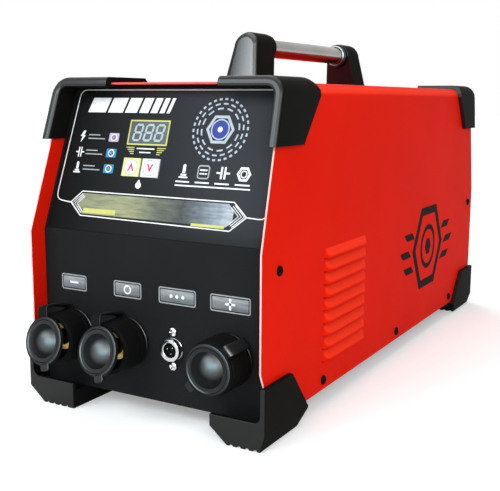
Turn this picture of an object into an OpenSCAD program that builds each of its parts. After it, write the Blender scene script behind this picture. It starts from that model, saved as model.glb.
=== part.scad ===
// Portable capacitor discharge stud welder.
// Millimetres, +Z up, front towards -Y, standing on its feet at Z = 0.

/* [Case] */
// Width of the cover below its crease
case_w = 200; // [185:1:230]
// Depth of the cover along its lower edge
case_d = 493; // [460:1:560]
// Height of the cover's top above the floor
case_top = 243; // [236:1:275]
// Height of the crease where the sides start to lean in
crease_z = 133; // [130:1:140]
// Height of the cover's lower edge above the floor
ride_h = 14; // [12:0.5:17]
// Inward lean of each side from the crease to the top
side_lean = 5; // [2:0.5:8]
// Backward lean of the front edge from the crease to the top
front_lean = 36.4; // [28:0.2:42]
// Forward lean of the rear edge from the crease to the top
rear_lean = 6; // [2:0.5:10]
// Thickness of the cover's sheet
sheet_t = 1.5; // [1:0.1:2]
// Outer radius of the cover's top bends
bend_r = 9; // [7:0.5:11]
// Depth of the cut at the cover's lower front corners
cut_back = 18; // [12:0.5:22]
// Height of the cut at the cover's lower front corners
cut_rise = 39; // [33:0.5:45]

/* [Panels and tray] */
// Thickness of the front and rear panels
panel_t = 1.5; // [1:0.1:2]
// Depth of the front panel behind the cover's front edge
panel_recess = 14; // [11:0.5:17]
// Depth of the rear panel behind the cover's rear edge
rear_recess = 6; // [4:0.5:9]
// Depth of the turned edges of both panels
pan_flange = 20; // [16:0.5:24]
// Thickness of the base tray
tray_t = 1.5; // [1:0.1:2]
// Height of the tray's turned-up sides
tray_side_h = 20; // [16:0.5:26]

/* [Louvres] */
// Number of louvres on each side
louvre_count = 9; // [6:1:9]
// Length of a louvre
louvre_len = 81; // [60:1:100]
// Height of a louvre
louvre_h = 7; // [5:0.5:8]
// Distance from one louvre to the next
louvre_pitch = 9.9; // [9:0.1:10]
// How far a louvre stands out
louvre_out = 3.6; // [2.8:0.1:4.5]
// Distance of the louvres behind the cover's front edge
louvre_y = 95; // [85:1:130]
// Height of the lowest louvre above the cover's lower edge
louvre_rise = 22.5; // [20:0.5:26]

/* [Screws] */
// Radius of a case screw's shank
screw_r = 1.9; // [1.5:0.1:2.2]
// Radius of a case screw's head
screw_head_r = 3.7; // [3.2:0.1:4.4]
// Height of a case screw's head
screw_head_h = 2; // [1.4:0.1:2.6]
// Length of a case screw's shank
screw_len = 8; // [6:0.5:10]
// Distance of the upper side screws below the crease
screw_drop = 14; // [10:0.5:20]

/* [Corner guards] */
// Wall of the guards and feet outside the cover
guard_t = 4; // [3:0.1:5]
// How far a guard reaches down the side
guard_drop = 42; // [36:0.5:50]
// How far a guard reaches in along the top
guard_reach = 52; // [44:0.5:58]
// Length of a guard along its lower edge
guard_low_len = 35; // [28:0.5:40]
// Length of a guard along its upper edge
guard_high_len = 50; // [44:0.5:58]
// Size of a guard's cut corner
guard_cut = 9; // [5:0.5:12]
// How far a front guard stands ahead of the cover's edge
lip_front = 6.8; // [4:0.2:8]
// How far a rear guard stands behind the cover's edge
lip_rear = 2; // [1.5:0.1:4]
// Wall of the guards' return inside the cover
lip_in = 2; // [1.5:0.1:3]

/* [Feet] */
// Width of a foot
foot_w = 43.5; // [36:0.5:50]
// Length of a foot
foot_len = 64.5; // [56:0.5:74]
// How far a foot stands ahead of the cover's edge
foot_lip = 1.6; // [0.8:0.1:2.5]
// Height of a foot's side wall
foot_side_h = 44; // [38:0.5:50]
// Length of the side wall's upper edge
foot_side_len = 41; // [34:0.5:46]
// Height of a foot's end wall
foot_wall_h = 20; // [18.5:0.5:26]
// Width of the slanted cut under a foot
foot_cut_w = 14; // [10:0.5:17]
// Height of the slanted cuts under a foot
foot_cut_h = 11.5; // [8:0.5:12]
// Number of tread grooves under a foot
tread_count = 4; // [2:1:4]
// Distance from one tread groove to the next
tread_pitch = 6.3; // [5:0.1:6.5]

/* [Handle] */
// Length of the handle over both posts
handle_len = 236; // [215:1:260]
// Length of a post on the cover
post_len = 31; // [28:0.5:36]
// Width of a post on the cover
post_w = 32; // [26:0.5:36]
// Radius of a post's round head
post_head_r = 11.5; // [11:0.1:12.5]
// Slant of a post's outer face
post_slant = 12; // [6:0.5:14]
// How far a post's inner face leans over at the tube
post_lean = 9; // [6:0.5:11]
// Radius of the boss round the tube's end
tube_boss_r = 10.9; // [10.5:0.1:11]
// Length of the boss
tube_boss_len = 5; // [3:0.5:8]
// Height of the tube's axis above the cover
tube_rise = 31.5; // [28:0.5:38]
// Radius of the handle tube
tube_r = 8; // [7:0.1:8.6]
// Depth of the tube in each post
tube_seat = 20; // [14:0.5:22]
// Radius of the tube's end collars
collar_r = 10; // [9.6:0.1:10.4]
// Length of a collar
collar_len = 3; // [2:0.5:8]
// Radius of a handle bolt
bolt_r = 2.5; // [2:0.1:3]

/* [Control field] */
// Thickness of the overlay
overlay_t = 0.8; // [0.5:0.1:1.2]
// Width of the display window
display_w = 35.4; // [30:0.2:38]
// Height of the display window
display_h = 18.6; // [16:0.2:21]
// Width of a key
key_w = 15.4; // [13:0.2:15.8]
// Height of a key
key_h = 13.8; // [11:0.2:14]
// Distance from one key to the other
key_pitch = 17; // [16.8:0.1:19]
// How far a key stands above the overlay
key_proud = 1; // [0.9:0.1:1.6]
// Travel of a key
key_travel = 0.7; // [0.4:0.1:0.8]
// Radius of an indicator lamp
lamp_r = 1.8; // [1.2:0.1:2.4]
// Distance from one lamp to the next
lamp_pitch = 12; // [9:0.5:13]
// Room between the panel and the control board
board_gap = 12; // [10:0.5:16]
// Width of the control board
board_w = 112; // [100:1:124]
// Height of the control board
board_h = 60; // [58:0.5:68]

/* [Weld sockets] */
// Height of the sockets above the cover's lower edge
socket_rise = 41.5; // [38:0.5:46]
// Radius of a socket's barrel
barrel_r = 19; // [18.2:0.1:20.5]
// Length of a barrel in front of the panel
barrel_len = 26; // [22:0.5:30]
// Radius of a socket's neck in the panel
neck_r = 13.5; // [12.8:0.1:14.5]
// Length of a neck behind the panel's face
neck_len = 16; // [13:0.5:20]
// Radius of a socket's mouth
mouth_r = 15; // [14.4:0.1:15.6]
// Depth of a socket's mouth
mouth_depth = 11; // [8:0.5:13]
// Outer radius of the brass contact
contact_r = 10; // [9:0.1:11]
// Radius of the contact's bore
contact_bore_r = 6.5; // [5.5:0.1:7.2]
// Depth of the contact's bore
contact_bore_len = 28; // [24:0.5:29]
// Radius of the contact's rear stud
stud_r = 5; // [4:0.1:6]
// Length of the contact's rear stud
stud_len = 16; // [12:0.5:20]

/* [Dust caps] */
// Radius of a cap's disc
cap_r = 18; // [17:0.1:18.1]
// Thickness of a cap's disc
cap_t = 3.5; // [2.6:0.1:4.5]
// Radius of a cap's dome
dome_r = 12.6; // [10:0.1:14]
// Height of a cap's dome
dome_h = 5; // [3:0.1:6]
// Radius of the plug on a cap's back
plug_r = 13.4; // [12:0.1:13.7]
// Length of the plug on a cap's back
plug_len = 3; // [2:0.1:3.4]
// Width of the strap
strap_w = 8.5; // [6:0.1:10]
// Thickness of the strap
strap_t = 1.8; // [1.4:0.1:2.2]
// Rise of a slack strap's fold above the barrel
slack_rise = 6.5; // [5:0.1:9]
// Rise of a taut strap's fold above the barrel
taut_rise = 2.2; // [1.8:0.1:3]
// Reach of a cap's tab past its disc
tab_len = 4; // [2:0.1:6]
// Width of a cap's tab
tab_w = 8; // [5:0.1:10]
// Angle at which the two loose caps stand open
ajar = 15; // [12:1:20]

/* [Control socket] */
// Outer radius of the shell
shell_r = 8.2; // [7.4:0.1:8.4]
// Wall of the shell
shell_wall = 1.5; // [1:0.1:1.8]
// Length of the shell in front of the panel
shell_out = 5.5; // [3:0.5:8]
// Length of the shell behind the panel's face
shell_back = 13; // [10:0.5:16]
// Distance between the shell's two screws
shell_screw_gap = 25.2; // [24.6:0.1:28]
// Number of contact pins
pin_count = 4; // [3:1:6]

/* [Fan] */
// Width of the fan frame
fan_w = 80; // [78:0.5:84]
// Depth of the fan frame
fan_d = 25; // [22:0.5:30]
// Radius of the fan's duct
fan_r = 38; // [36:0.1:38.4]
// Distance between the fan's screws
fan_screw_gap = 71.5; // [70.5:0.1:72]
// Number of fan blades
blade_count = 7; // [5:1:9]
// Chord of a blade
blade_chord = 15; // [12:0.5:16]
// Pitch of a blade in degrees
blade_pitch = 38; // [30:1:42]
// Radius of the rotor's hub
hub_r = 16; // [14:0.5:18]
// Radius of the rotor's shaft
shaft_r = 1.6; // [1.2:0.1:2]

/* [Switch, gland and earth stud] */
// Width of the rocker
rocker_w = 18; // [14:0.5:21]
// Height of the rocker
rocker_h = 26; // [22:0.5:28]
// Tilt of the rocker each way in degrees
rocker_tilt = 10; // [7:1:11]
// Depth of the switch body
switch_d = 24; // [20:0.5:30]
// Radius of the gland's thread
gland_r = 9; // [8:0.1:10]
// Radius of the gland's cable bore
gland_bore_r = 4.5; // [3.5:0.1:6]
// Length of the gland outside the rear panel
gland_out = 24; // [20:0.5:30]
// Radius of the earth stud
earth_r = 4; // [3:0.1:5]
// Length of the earth stud outside the rear panel
earth_out = 20; // [16:0.5:23]

/* [Capacitor bank] */
// Radius of a capacitor
can_r = 25.5; // [22:0.5:26]
// Height of a capacitor
can_h = 104; // [90:1:115]
// Distance from one capacitor to the next
can_pitch = 56; // [54:0.5:60]
// Number of rows of two capacitors
can_rows = 3; // [2:1:3]
// Radius of a capacitor's terminal
terminal_r = 5; // [4:0.1:6]
// Height of a capacitor's terminal
terminal_h = 5; // [3:0.1:8]
// Distance between a capacitor's terminals
terminal_gap = 18; // [16:0.5:20]
// Thickness of the busbars
busbar_t = 3; // [2:0.1:4]
// Width of a busbar
busbar_w = 12; // [11:0.5:13]

/* [Charging unit] */
// Width of the transformer core
core_w = 84; // [76:1:90]
// Depth of the transformer core
core_d = 50; // [40:1:56]
// Height of the transformer core
core_h = 70; // [60:1:84]
// Width of one limb of the core's outer frame
limb_w = 14; // [12:0.5:16]
// How far the coil stands out of the core
coil_out = 12; // [8:0.5:16]
// Length of the heat sink
sink_len = 100; // [80:1:110]
// Height of the heat sink
sink_h = 80; // [64:1:90]
// Thickness of the heat sink's plate
sink_t = 6; // [4:0.5:8]
// Length of the heat sink's fins
fin_len = 26; // [18:0.5:30]
// Number of fins
fin_count = 9; // [6:1:10]
// Thickness of a fin
fin_t = 2; // [1.5:0.1:2.6]

/* [Hidden] */
$fn = 64;

// Clearances: assembled pieces, close seats, screws in their holes, running shafts, and overrun of cuts
fit = 0.3;
snug = 0.1;
screw_play = 0.2;
running = 0.05;
over = 1;

// Finishes
red_paint = [0.86, 0.13, 0.08];
black_paint = [0.14, 0.14, 0.15];
black_plastic = [0.10, 0.10, 0.11];
black_rubber = [0.08, 0.08, 0.09];
overlay_ink = [0.20, 0.20, 0.22];
bright_steel = [0.78, 0.79, 0.80];
zinc = [0.68, 0.69, 0.70];
brass = [0.80, 0.62, 0.28];
copper = [0.80, 0.45, 0.28];
board_green = [0.10, 0.36, 0.20];
smoked_lens = [0.20, 0.10, 0.08];

// Case places
tray_top = ride_h + tray_t;
slope_rise = case_top - crease_z;
slope_len = norm([front_lean, slope_rise]);
slope_angle = atan(front_lean / slope_rise);
side_angle = atan(side_lean / slope_rise);
slope_t = panel_t * cos(slope_angle);
rear_face = case_d - rear_recess;
bend_steps = 6;
least_r = 0.2;

// Outline of the cover across the case, grown outwards by a wall, from a given height up
function bend_radius(grow) = max(bend_r + grow, least_r);
function side_x(grow, z) = case_w / 2 + grow - max(z - crease_z, 0) * tan(side_angle);
function bend_z(grow) = case_top + grow - bend_radius(grow);
function bend_x(grow) = side_x(grow, bend_z(grow)) - bend_radius(grow) / cos(side_angle);
function bend_angle(i) = side_angle + (90 - side_angle) * i / bend_steps;
function bend_points(grow) = [for (i = [0 : bend_steps])
    [bend_x(grow), bend_z(grow)] + bend_radius(grow) * [cos(bend_angle(i)), sin(bend_angle(i))]];
function right_points(grow, low) =
    concat([[side_x(grow, low), low], [side_x(grow, crease_z), crease_z]], bend_points(grow));
module outline(grow, low) {
    right = right_points(grow, low);
    polygon(concat(right, [for (i = [len(right) - 1 : -1 : 0]) [-right[i].x, right[i].y]]));
}

// Edge of the case seen from the side, at the front or the rear, and a band that follows it
function edge_y(base, lean, z) = base + lean * max(z - crease_z, 0) / slope_rise;
module edge_band(base, lean, near, far, low, high)
    polygon([[base + near, low], [base + near, crease_z], [edge_y(base, lean, high) + near, high],
        [edge_y(base, lean, high) + far, high], [base + far, crease_z], [base + far, low]]);
// The cover's lower rear corners are notched round the rear feet's end walls
notch_back = guard_t - foot_lip + fit;
notch_z = foot_wall_h + fit;
module side_outline()
    polygon([[cut_back, ride_h], [0, ride_h + cut_rise], [0, crease_z], [front_lean, case_top],
        [case_d - rear_lean, case_top], [case_d, crease_z], [case_d, notch_z],
        [case_d - notch_back, notch_z], [case_d - notch_back, ride_h]]);

// Extrusions: an outline across the case drawn along Y, and a side outline drawn along X
module along_y(y0, y1) translate([0, y1, 0]) rotate([90, 0, 0]) linear_extrude(y1 - y0) children();
module along_x(x0, x1) translate([x0, 0, 0]) rotate([90, 0, 90]) linear_extrude(x1 - x0) children();
module whole_depth() along_y(-case_d, 2 * case_d) children();
module whole_width() along_x(-case_w, case_w) children();

// Frames: front panel, leaning field, rear panel, and a side of the case, each with +Z outwards
module at_front(x, z) translate([x, panel_recess, z]) rotate([90, 0, 0]) children();
module on_slope(x, up) translate([0, panel_recess, crease_z]) rotate([90 - slope_angle, 0, 0])
    translate([x, up, 0]) children();
module at_rear(x, z) translate([x, rear_face, z]) rotate([-90, 0, 0]) children();
module at_side(side, y, z) translate([side * case_w / 2, y, z]) rotate([0, side * 90, 0]) children();

// Round bar, flat block and ring between two heights
module bar(r, low, high) translate([0, 0, low]) cylinder(r = r, h = high - low);
module block(w, h, low, high) translate([-w / 2, -h / 2, low]) cube([w, h, high - low]);
module ring(r_out, r_in, low, high) difference() {
    bar(r_out, low, high);
    bar(r_in, low - over, high + over);
}
module hex_nut(r, hole_r, low, high) difference() {
    translate([0, 0, low]) cylinder(r = r, h = high - low, $fn = 6);
    bar(hole_r, low - over, high + over);
}
// Screw with a low round head: head above zero, shank below
module screw(r, head_r, head_h, length) {
    bar(r, -length, 0);
    bar(head_r, 0, head_h / 2);
    translate([0, 0, head_h / 2]) cylinder(r1 = head_r, r2 = head_r * screw_crown_share, h = head_h / 2);
}
screw_crown_share = 0.72;

// Cover screws along each side: two at the panels' turned edges, three in the tray
side_screw_shares = [0.197, 0.519, 0.848];
panel_screw_y = panel_recess + pan_flange / 2;
rear_screw_y = rear_face - pan_flange / 2;
tray_screw_z = tray_top + tray_side_h * 0.32;
side_screw_spots = concat([[panel_screw_y, crease_z - screw_drop], [rear_screw_y, crease_z - screw_drop]],
    [for (share = side_screw_shares) [share * case_d, tray_screw_z]]);
module side_screw_holes() for (side = [-1, 1], spot = side_screw_spots)
    at_side(side, spot.x, spot.y) bar(screw_r + screw_play, -screw_len - over, over);
// Screws under both panels, seen below the front panel's edge
panel_screw_share = 0.21;
panel_screw_x = panel_screw_share * case_w;
module at_panel_screws() for (side = [-1, 1], y = [panel_screw_y, rear_screw_y])
    translate([side * panel_screw_x, y, ride_h]) rotate([180, 0, 0]) children();

// Handle places
handle_share = 0.5227;
handle_y0 = handle_share * case_d - handle_len / 2;
tube_z = case_top + tube_rise;
tube_mouth_y = post_len + post_lean + tube_boss_len;
post_bolt_shares = [0.28, 0.72];
bolt_head_h = 1.2 * bolt_r;
bolt_head_r = 1.8 * bolt_r;
bolt_grip = tube_rise - tube_r - 2 * sheet_t - 3 * bolt_r;
module both_posts() for (end = [0, 1])
    translate([0, handle_y0 + end * handle_len, case_top]) mirror([0, end, 0]) children();
module at_handle_bolts() both_posts() for (share = post_bolt_shares)
    translate([0, share * post_len, -sheet_t]) rotate([180, 0, 0]) children();

// Louvre profiles on the right side, seen along the case
module louvre_hood(z) polygon([[case_w / 2 - sheet_t, z], [case_w / 2 + louvre_out, z],
    [case_w / 2, z + louvre_h], [case_w / 2 - sheet_t, z + louvre_h]]);
module louvre_space(z) polygon([[case_w / 2 - sheet_t - over, z], [case_w / 2, z], [case_w / 2, z - over],
    [case_w / 2 + louvre_out - sheet_t, z - over], [case_w / 2 + louvre_out - sheet_t, z],
    [case_w / 2 - sheet_t, z + louvre_h], [case_w / 2 - sheet_t - over, z + louvre_h]]);
module louvre_rows(inset) for (i = [0 : louvre_count - 1])
    along_y(louvre_y + inset, louvre_y + louvre_len - inset) translate([0, i * louvre_pitch]) children();

module top_cover() color(red_paint) difference() {
    union() {
        intersection() {
            whole_depth() difference() {
                outline(0, ride_h);
                outline(-sheet_t, ride_h - over);
            }
            whole_width() side_outline();
        }
        for (side = [0, 1]) mirror([side, 0, 0]) louvre_rows(0) louvre_hood(ride_h + louvre_rise);
    }
    for (side = [0, 1]) mirror([side, 0, 0]) louvre_rows(sheet_t) louvre_space(ride_h + louvre_rise);
    side_screw_holes();
    at_handle_bolts() bar(bolt_r + screw_play, -sheet_t - over, over);
}

tray_half_w = case_w / 2 - sheet_t - fit;
tray_side_y0 = panel_recess + pan_flange + fit;
tray_side_y1 = rear_face - pan_flange - fit;
module base_tray() color(black_paint) difference() {
    union() {
        translate([-tray_half_w, panel_recess, ride_h])
            cube([2 * tray_half_w, rear_face - panel_recess, tray_t]);
        for (side = [0, 1]) mirror([side, 0, 0]) translate([tray_half_w - tray_t, tray_side_y0, ride_h])
            cube([tray_t, tray_side_y1 - tray_side_y0, tray_t + tray_side_h]);
    }
    side_screw_holes();
    at_panel_screws() bar(screw_r + screw_play, -screw_len - over, over);
}

// Sheet that fills the cover between two depths behind the front or the rear edge of the case
module sheet(base, lean, near, far, low, high) intersection() {
    whole_depth() outline(-sheet_t - fit, tray_top);
    whole_width() edge_band(base, lean, near, far, low, high);
}
// Its turned edges: one wall thick, with holes for the screws of the cover and the tray
module rim_room(wall) whole_depth() outline(-sheet_t - fit - wall, tray_top + wall);
module rim_holes() {
    side_screw_holes();
    at_panel_screws() bar(screw_r + screw_play, -screw_len - over, over);
}

// Places on the leaning field, as shares of the case width and of the field's length up the slope
display_x_share = -0.079;
display_up_share = 0.67;
keys_x_share = -0.0845;
keys_up_share = 0.442;
lamps_x_share = -0.233;
lamps_up_share = 0.528;
board_x_share = -0.11;
board_up_share = 0.57;
display_x = display_x_share * case_w;
display_up = display_up_share * slope_len;
keys_x = keys_x_share * case_w;
keys_up = keys_up_share * slope_len;
lamps_x = lamps_x_share * case_w;
lamps_up = lamps_up_share * slope_len;
board_t = 1.6;
board_face = -slope_t - board_gap;
module at_display() on_slope(display_x, display_up) children();
module at_key(way) on_slope(keys_x + way * key_pitch / 2, keys_up) children();
module at_lamps() for (i = [-1 : 1]) on_slope(lamps_x, lamps_up + i * lamp_pitch) children();
module field_openings() {
    at_display() block(display_w + 2 * snug, display_h + 2 * snug, -slope_t - over, overlay_t + over);
    for (way = [-1, 1])
        at_key(way) block(key_w + 2 * fit, key_h + 2 * fit, -slope_t - over, overlay_t + over);
    at_lamps() bar(lamp_r + snug, -slope_t - over, overlay_t + over);
}

// Places on the upright field
socket_shares = [-0.3475, -0.0975, 0.3375];
strap_angles = [106, 106, 45];
socket_z = ride_h + socket_rise;
shell_x_share = 0.104;
shell_x = shell_x_share * case_w;
module at_socket(i) at_front(socket_shares[i] * case_w, socket_z) children();
module at_shell() at_front(shell_x, socket_z) children();
shell_screw_r = shell_r * 0.18;
module at_shell_screws() at_shell() for (way = [-1, 1])
    translate([0, way * shell_screw_gap / 2, 0]) children();

// Front panel: upright field, leaning field, and the rim of turned edges behind both
front_back = panel_recess + panel_t;
module front_panel() color(black_paint) difference() {
    sheet(0, front_lean, panel_recess, front_back, 0, crease_z);
    for (i = [0 : 2]) at_socket(i) bar(neck_r + snug, -panel_t - over, over);
    at_shell() bar(shell_r + snug, -panel_t - over, over);
    at_shell_screws() bar(shell_screw_r + snug, -panel_t - over, over);
}
module leaning_panel() color(black_paint) difference() {
    sheet(0, front_lean, panel_recess, front_back, crease_z, case_top);
    field_openings();
}
module front_rim() color(black_paint) difference() {
    sheet(0, front_lean, front_back, panel_recess + pan_flange, 0, case_top);
    rim_room(panel_t);
    rim_holes();
}

// Places on the rear panel, as shares of the case width and of the upright field's height
upright_h = crease_z - tray_top;
fan_x_share = -0.19;
fan_up_share = 0.52;
switch_x_share = 0.27;
switch_up_share = 0.68;
gland_x_share = 0.2;
gland_up_share = 0.24;
earth_x_share = 0.36;
earth_up_share = 0.22;
function up_rear(share) = tray_top + share * upright_h;
module at_fan() at_rear(fan_x_share * case_w, up_rear(fan_up_share)) children();
module at_fan_screws() at_fan() for (x = [-1, 1], y = [-1, 1])
    translate([x * fan_screw_gap / 2, y * fan_screw_gap / 2, 0]) children();
module at_switch() at_rear(switch_x_share * case_w, up_rear(switch_up_share)) children();
module at_gland() at_rear(gland_x_share * case_w, up_rear(gland_up_share)) children();
module at_earth() at_rear(earth_x_share * case_w, up_rear(earth_up_share)) children();
switch_wall = 2.5;
rocker_room = rocker_h * 0.05;
switch_w = rocker_w + 2 * (fit + switch_wall);
switch_h = rocker_h + 2 * (rocker_room + switch_wall);

module rear_panel() color(black_paint) difference() {
    sheet(case_d, -rear_lean, -rear_recess, -rear_recess - pan_flange, 0, case_top);
    intersection() {
        rim_room(panel_t);
        whole_width() edge_band(case_d, -rear_lean, -rear_recess - panel_t,
            -rear_recess - pan_flange - over, 0, case_top);
    }
    rim_holes();
    at_fan() bar(fan_r, -panel_t - over, over);
    at_fan_screws() bar(screw_r + screw_play, -panel_t - over, over);
    at_switch() block(switch_w + 2 * snug, switch_h + 2 * snug, -panel_t - over, over);
    at_gland() bar(gland_r + snug, -panel_t - over, over);
    at_earth() bar(earth_r + snug, -panel_t - over, over);
}

module side_screws() color(black_plastic) for (side = [-1, 1], spot = side_screw_spots)
    at_side(side, spot.x, spot.y) screw(screw_r, screw_head_r, screw_head_h, screw_len);
module panel_screws() color(zinc) {
    at_panel_screws() screw(screw_r, screw_head_r, screw_head_h, screw_len);
    at_fan_screws() translate([0, 0, guard_wire]) screw(screw_r, screw_head_r, screw_head_h, 2 * screw_len);
}

// Corner guard seen from the side: front line ahead of the cover's edge, slanted rear line, cut top corner
guard_low_z = case_top - guard_drop;
module guard_side(base, lean, way, lip) {
    high = case_top + guard_t + over;
    low_edge = edge_y(base, lean, guard_low_z);
    top_edge = edge_y(base, lean, case_top);
    polygon([[low_edge - way * lip, guard_low_z], [low_edge + way * guard_low_len, guard_low_z],
        [top_edge + way * guard_high_len, case_top - guard_cut],
        [top_edge + way * guard_high_len, case_top - guard_cut / 2],
        [top_edge + way * (guard_high_len - guard_cut), high],
        [edge_y(base, lean, high) - way * lip, high]]);
}
module guard(base, lean, way, lip, recess, side) color(black_plastic) mirror([side, 0, 0]) intersection() {
    translate([case_w / 2 - guard_reach, -case_d, guard_low_z])
        cube([guard_reach + 2 * guard_t, 3 * case_d, guard_drop + 2 * guard_t]);
    union() {
        intersection() {
            whole_depth() difference() {
                outline(guard_t, ride_h);
                outline(0, ride_h - over);
            }
            whole_width() guard_side(base, lean, way, lip);
        }
        intersection() {
            whole_depth() difference() {
                outline(guard_t, ride_h);
                outline(-sheet_t - lip_in, ride_h - over);
            }
            whole_width() edge_band(base, lean, -way * lip, 0, 0, case_top + 2 * guard_t);
        }
        intersection() {
            whole_depth() difference() {
                outline(-sheet_t - fit, ride_h);
                outline(-sheet_t - lip_in, ride_h - over);
            }
            whole_width() edge_band(base, lean, -way * lip, way * (recess - fit), 0, case_top + 2 * guard_t);
        }
    }
}
module guard_front_left() guard(0, front_lean, 1, lip_front, panel_recess, 1);
module guard_front_right() guard(0, front_lean, 1, lip_front, panel_recess, 0);
module guard_rear_left() guard(case_d, -rear_lean, -1, lip_rear, rear_recess, 1);
module guard_rear_right() guard(case_d, -rear_lean, -1, lip_rear, rear_recess, 0);

// Foot: block under the tray, side wall up the cover, end wall in front, slanted cut always to the left
foot_draft = 3.5;
tread_w = tread_pitch * 0.4;
tread_depth = tread_w * 0.5;
foot_x1 = case_w / 2 + guard_t;
module foot_block_side() polygon([[-foot_lip, 0], [foot_len - foot_cut_h, 0], [foot_len, foot_cut_h],
    [foot_len, ride_h], [-foot_lip, ride_h]]);
module foot_wall_side() polygon([[-foot_lip, 0], [foot_len - foot_cut_h, 0], [foot_len, foot_cut_h],
    [foot_len - foot_draft, ride_h + foot_draft], [foot_side_len - foot_lip, foot_side_h],
    [-foot_lip, foot_side_h]]);
module foot_front(x0, draft) polygon([[x0, foot_cut_h], [x0 + foot_cut_w, 0], [x0 + foot_w - draft, 0],
    [x0 + foot_w, foot_cut_h], [x0 + foot_w, foot_side_h], [x0, foot_side_h]]);
module foot(side) {
    x0 = side > 0 ? foot_x1 - foot_w : -foot_x1;
    wall_x0 = side > 0 ? case_w / 2 : -foot_x1;
    color(black_plastic) difference() {
        intersection() {
            union() {
                along_x(x0, x0 + foot_w) foot_block_side();
                along_x(wall_x0, wall_x0 + guard_t) foot_wall_side();
                translate([x0, -foot_lip, 0]) cube([foot_w, guard_t, foot_wall_h]);
            }
            whole_depth() foot_front(x0, side > 0 ? foot_draft : 0);
        }
        for (i = [0 : tread_count - 1])
            translate([x0 + foot_cut_w + (i + 0.5) * tread_pitch - tread_w / 2, -foot_len, -over])
                cube([tread_w, 3 * foot_len, over + tread_depth]);
    }
}
module rear_foot(side) translate([0, case_d, 0]) mirror([0, 1, 0]) foot(side);
module foot_front_left() foot(-1);
module foot_front_right() foot(1);
module foot_rear_left() rear_foot(-1);
module foot_rear_right() rear_foot(1);

// Handle post in its own frame: on the cover at zero, outer face at the front
module post_front() {
    polygon([[-post_w / 2, 0], [post_w / 2, 0], [post_head_r, tube_rise], [-post_head_r, tube_rise]]);
    translate([0, tube_rise]) circle(r = post_head_r);
}
module post_side() {
    top = tube_rise + 2 * post_head_r;
    polygon([[0, 0], [post_len, 0], [post_len + post_lean, tube_rise], [post_len + post_lean, top],
        [post_slant * top / (tube_rise + post_head_r), top]]);
}
module post() color(black_plastic) difference() {
    union() {
        intersection() {
            along_y(-over, tube_mouth_y) post_front();
            along_x(-post_w, post_w) post_side();
        }
        translate([0, post_len, tube_rise]) rotate([-90, 0, 0]) bar(tube_boss_r, 0, tube_mouth_y - post_len);
    }
    translate([0, tube_mouth_y - tube_seat, tube_rise]) rotate([-90, 0, 0])
        bar(tube_r + snug, 0, tube_seat + over);
    for (share = post_bolt_shares)
        translate([0, share * post_len, 0]) bar(bolt_r + snug, -over, bolt_grip + fit);
}
module handle_front_post() translate([0, handle_y0, case_top]) post();
module handle_rear_post() translate([0, handle_y0 + handle_len, case_top]) mirror([0, 1, 0]) post();
tube_y0 = handle_y0 + tube_mouth_y - tube_seat + fit;
tube_y1 = handle_y0 + handle_len - tube_mouth_y + tube_seat - fit;
module handle_tube() color(bright_steel) translate([0, tube_y0, tube_z]) rotate([-90, 0, 0])
    ring(tube_r, tube_r - sheet_t, 0, tube_y1 - tube_y0);
module handle_collars() color(bright_steel) both_posts()
    translate([0, tube_mouth_y, tube_rise]) rotate([-90, 0, 0]) ring(collar_r, tube_r + snug, 0, collar_len);
module handle_bolts() color(zinc) at_handle_bolts()
    screw(bolt_r, bolt_head_r, bolt_head_h, sheet_t + bolt_grip);

// Overlay on the leaning field, inside the guards' returns, with its top corners cut
overlay_rim = sheet_t + lip_in + 3 * fit;
overlay_cut = 2 * guard_t;
overlay_low_share = 0.012;
overlay_low = overlay_low_share * slope_len;
overlay_high = slope_len - overlay_rim;
function overlay_x(up) = side_x(-overlay_rim, crease_z + up * cos(slope_angle));
module overlay_half() polygon([[0, overlay_low], [overlay_x(overlay_low), overlay_low],
    [overlay_x(overlay_high - overlay_cut), overlay_high - overlay_cut],
    [overlay_x(overlay_high) - overlay_cut, overlay_high], [0, overlay_high]]);
module control_overlay() color(overlay_ink) difference() {
    on_slope(0, 0) linear_extrude(overlay_t) union() {
        overlay_half();
        mirror([1, 0]) overlay_half();
    }
    field_openings();
}
module display_window() color(smoked_lens) at_display() block(display_w, display_h, -slope_t, overlay_t);
display_rim = 2;
standoff_r = 3;
standoff_inset = 2 * standoff_r;
module at_board() on_slope(board_x_share * case_w, board_up_share * slope_len) children();
module at_standoffs() at_board() for (x = [-1, 1], y = [-1, 1])
    translate([x * (board_w / 2 - standoff_inset), y * (board_h / 2 - standoff_inset), 0]) children();
module control_board() color(board_green) at_board()
    block(board_w, board_h, board_face - board_t, board_face);
module board_standoffs() color(brass) at_standoffs() bar(standoff_r, board_face, -slope_t);

// Key: face through the overlay, lips behind the panel, stem towards its switch
key_lip = 1.2;
key_stem_r = 2.2;
switch_side = 6;
switch_low_h = 4;
plunger_top = board_face + switch_low_h + switch_low_h / 2;
key_stem_end = plunger_top + key_travel + fit;
module key(way) color(overlay_ink) at_key(way) {
    block(key_w, key_h, -slope_t - key_lip, overlay_t + key_proud);
    block(key_w, key_h + 2 * (key_lip + fit), -slope_t - key_lip, -slope_t);
    bar(key_stem_r, key_stem_end, -slope_t);
}
module up_key() key(-1);
module down_key() key(1);
// Display and key switches on the board
module board_modules() color(black_plastic) {
    at_display() block(display_w + 2 * display_rim, display_h + display_rim, board_face, -slope_t);
    for (way = [-1, 1]) at_key(way) {
        block(switch_side, switch_side, board_face, board_face + switch_low_h);
        bar(key_stem_r, board_face, plunger_top);
    }
}
module indicator_lamps() color([0.35, 0.55, 0.90]) at_lamps() {
    bar(lamp_r, -slope_t, overlay_t);
    bar(lamp_r + key_lip, board_face, -slope_t);
    intersection() {
        translate([0, 0, overlay_t]) sphere(r = lamp_r);
        bar(lamp_r, overlay_t - fit, overlay_t + lamp_r);
    }
}

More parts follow.
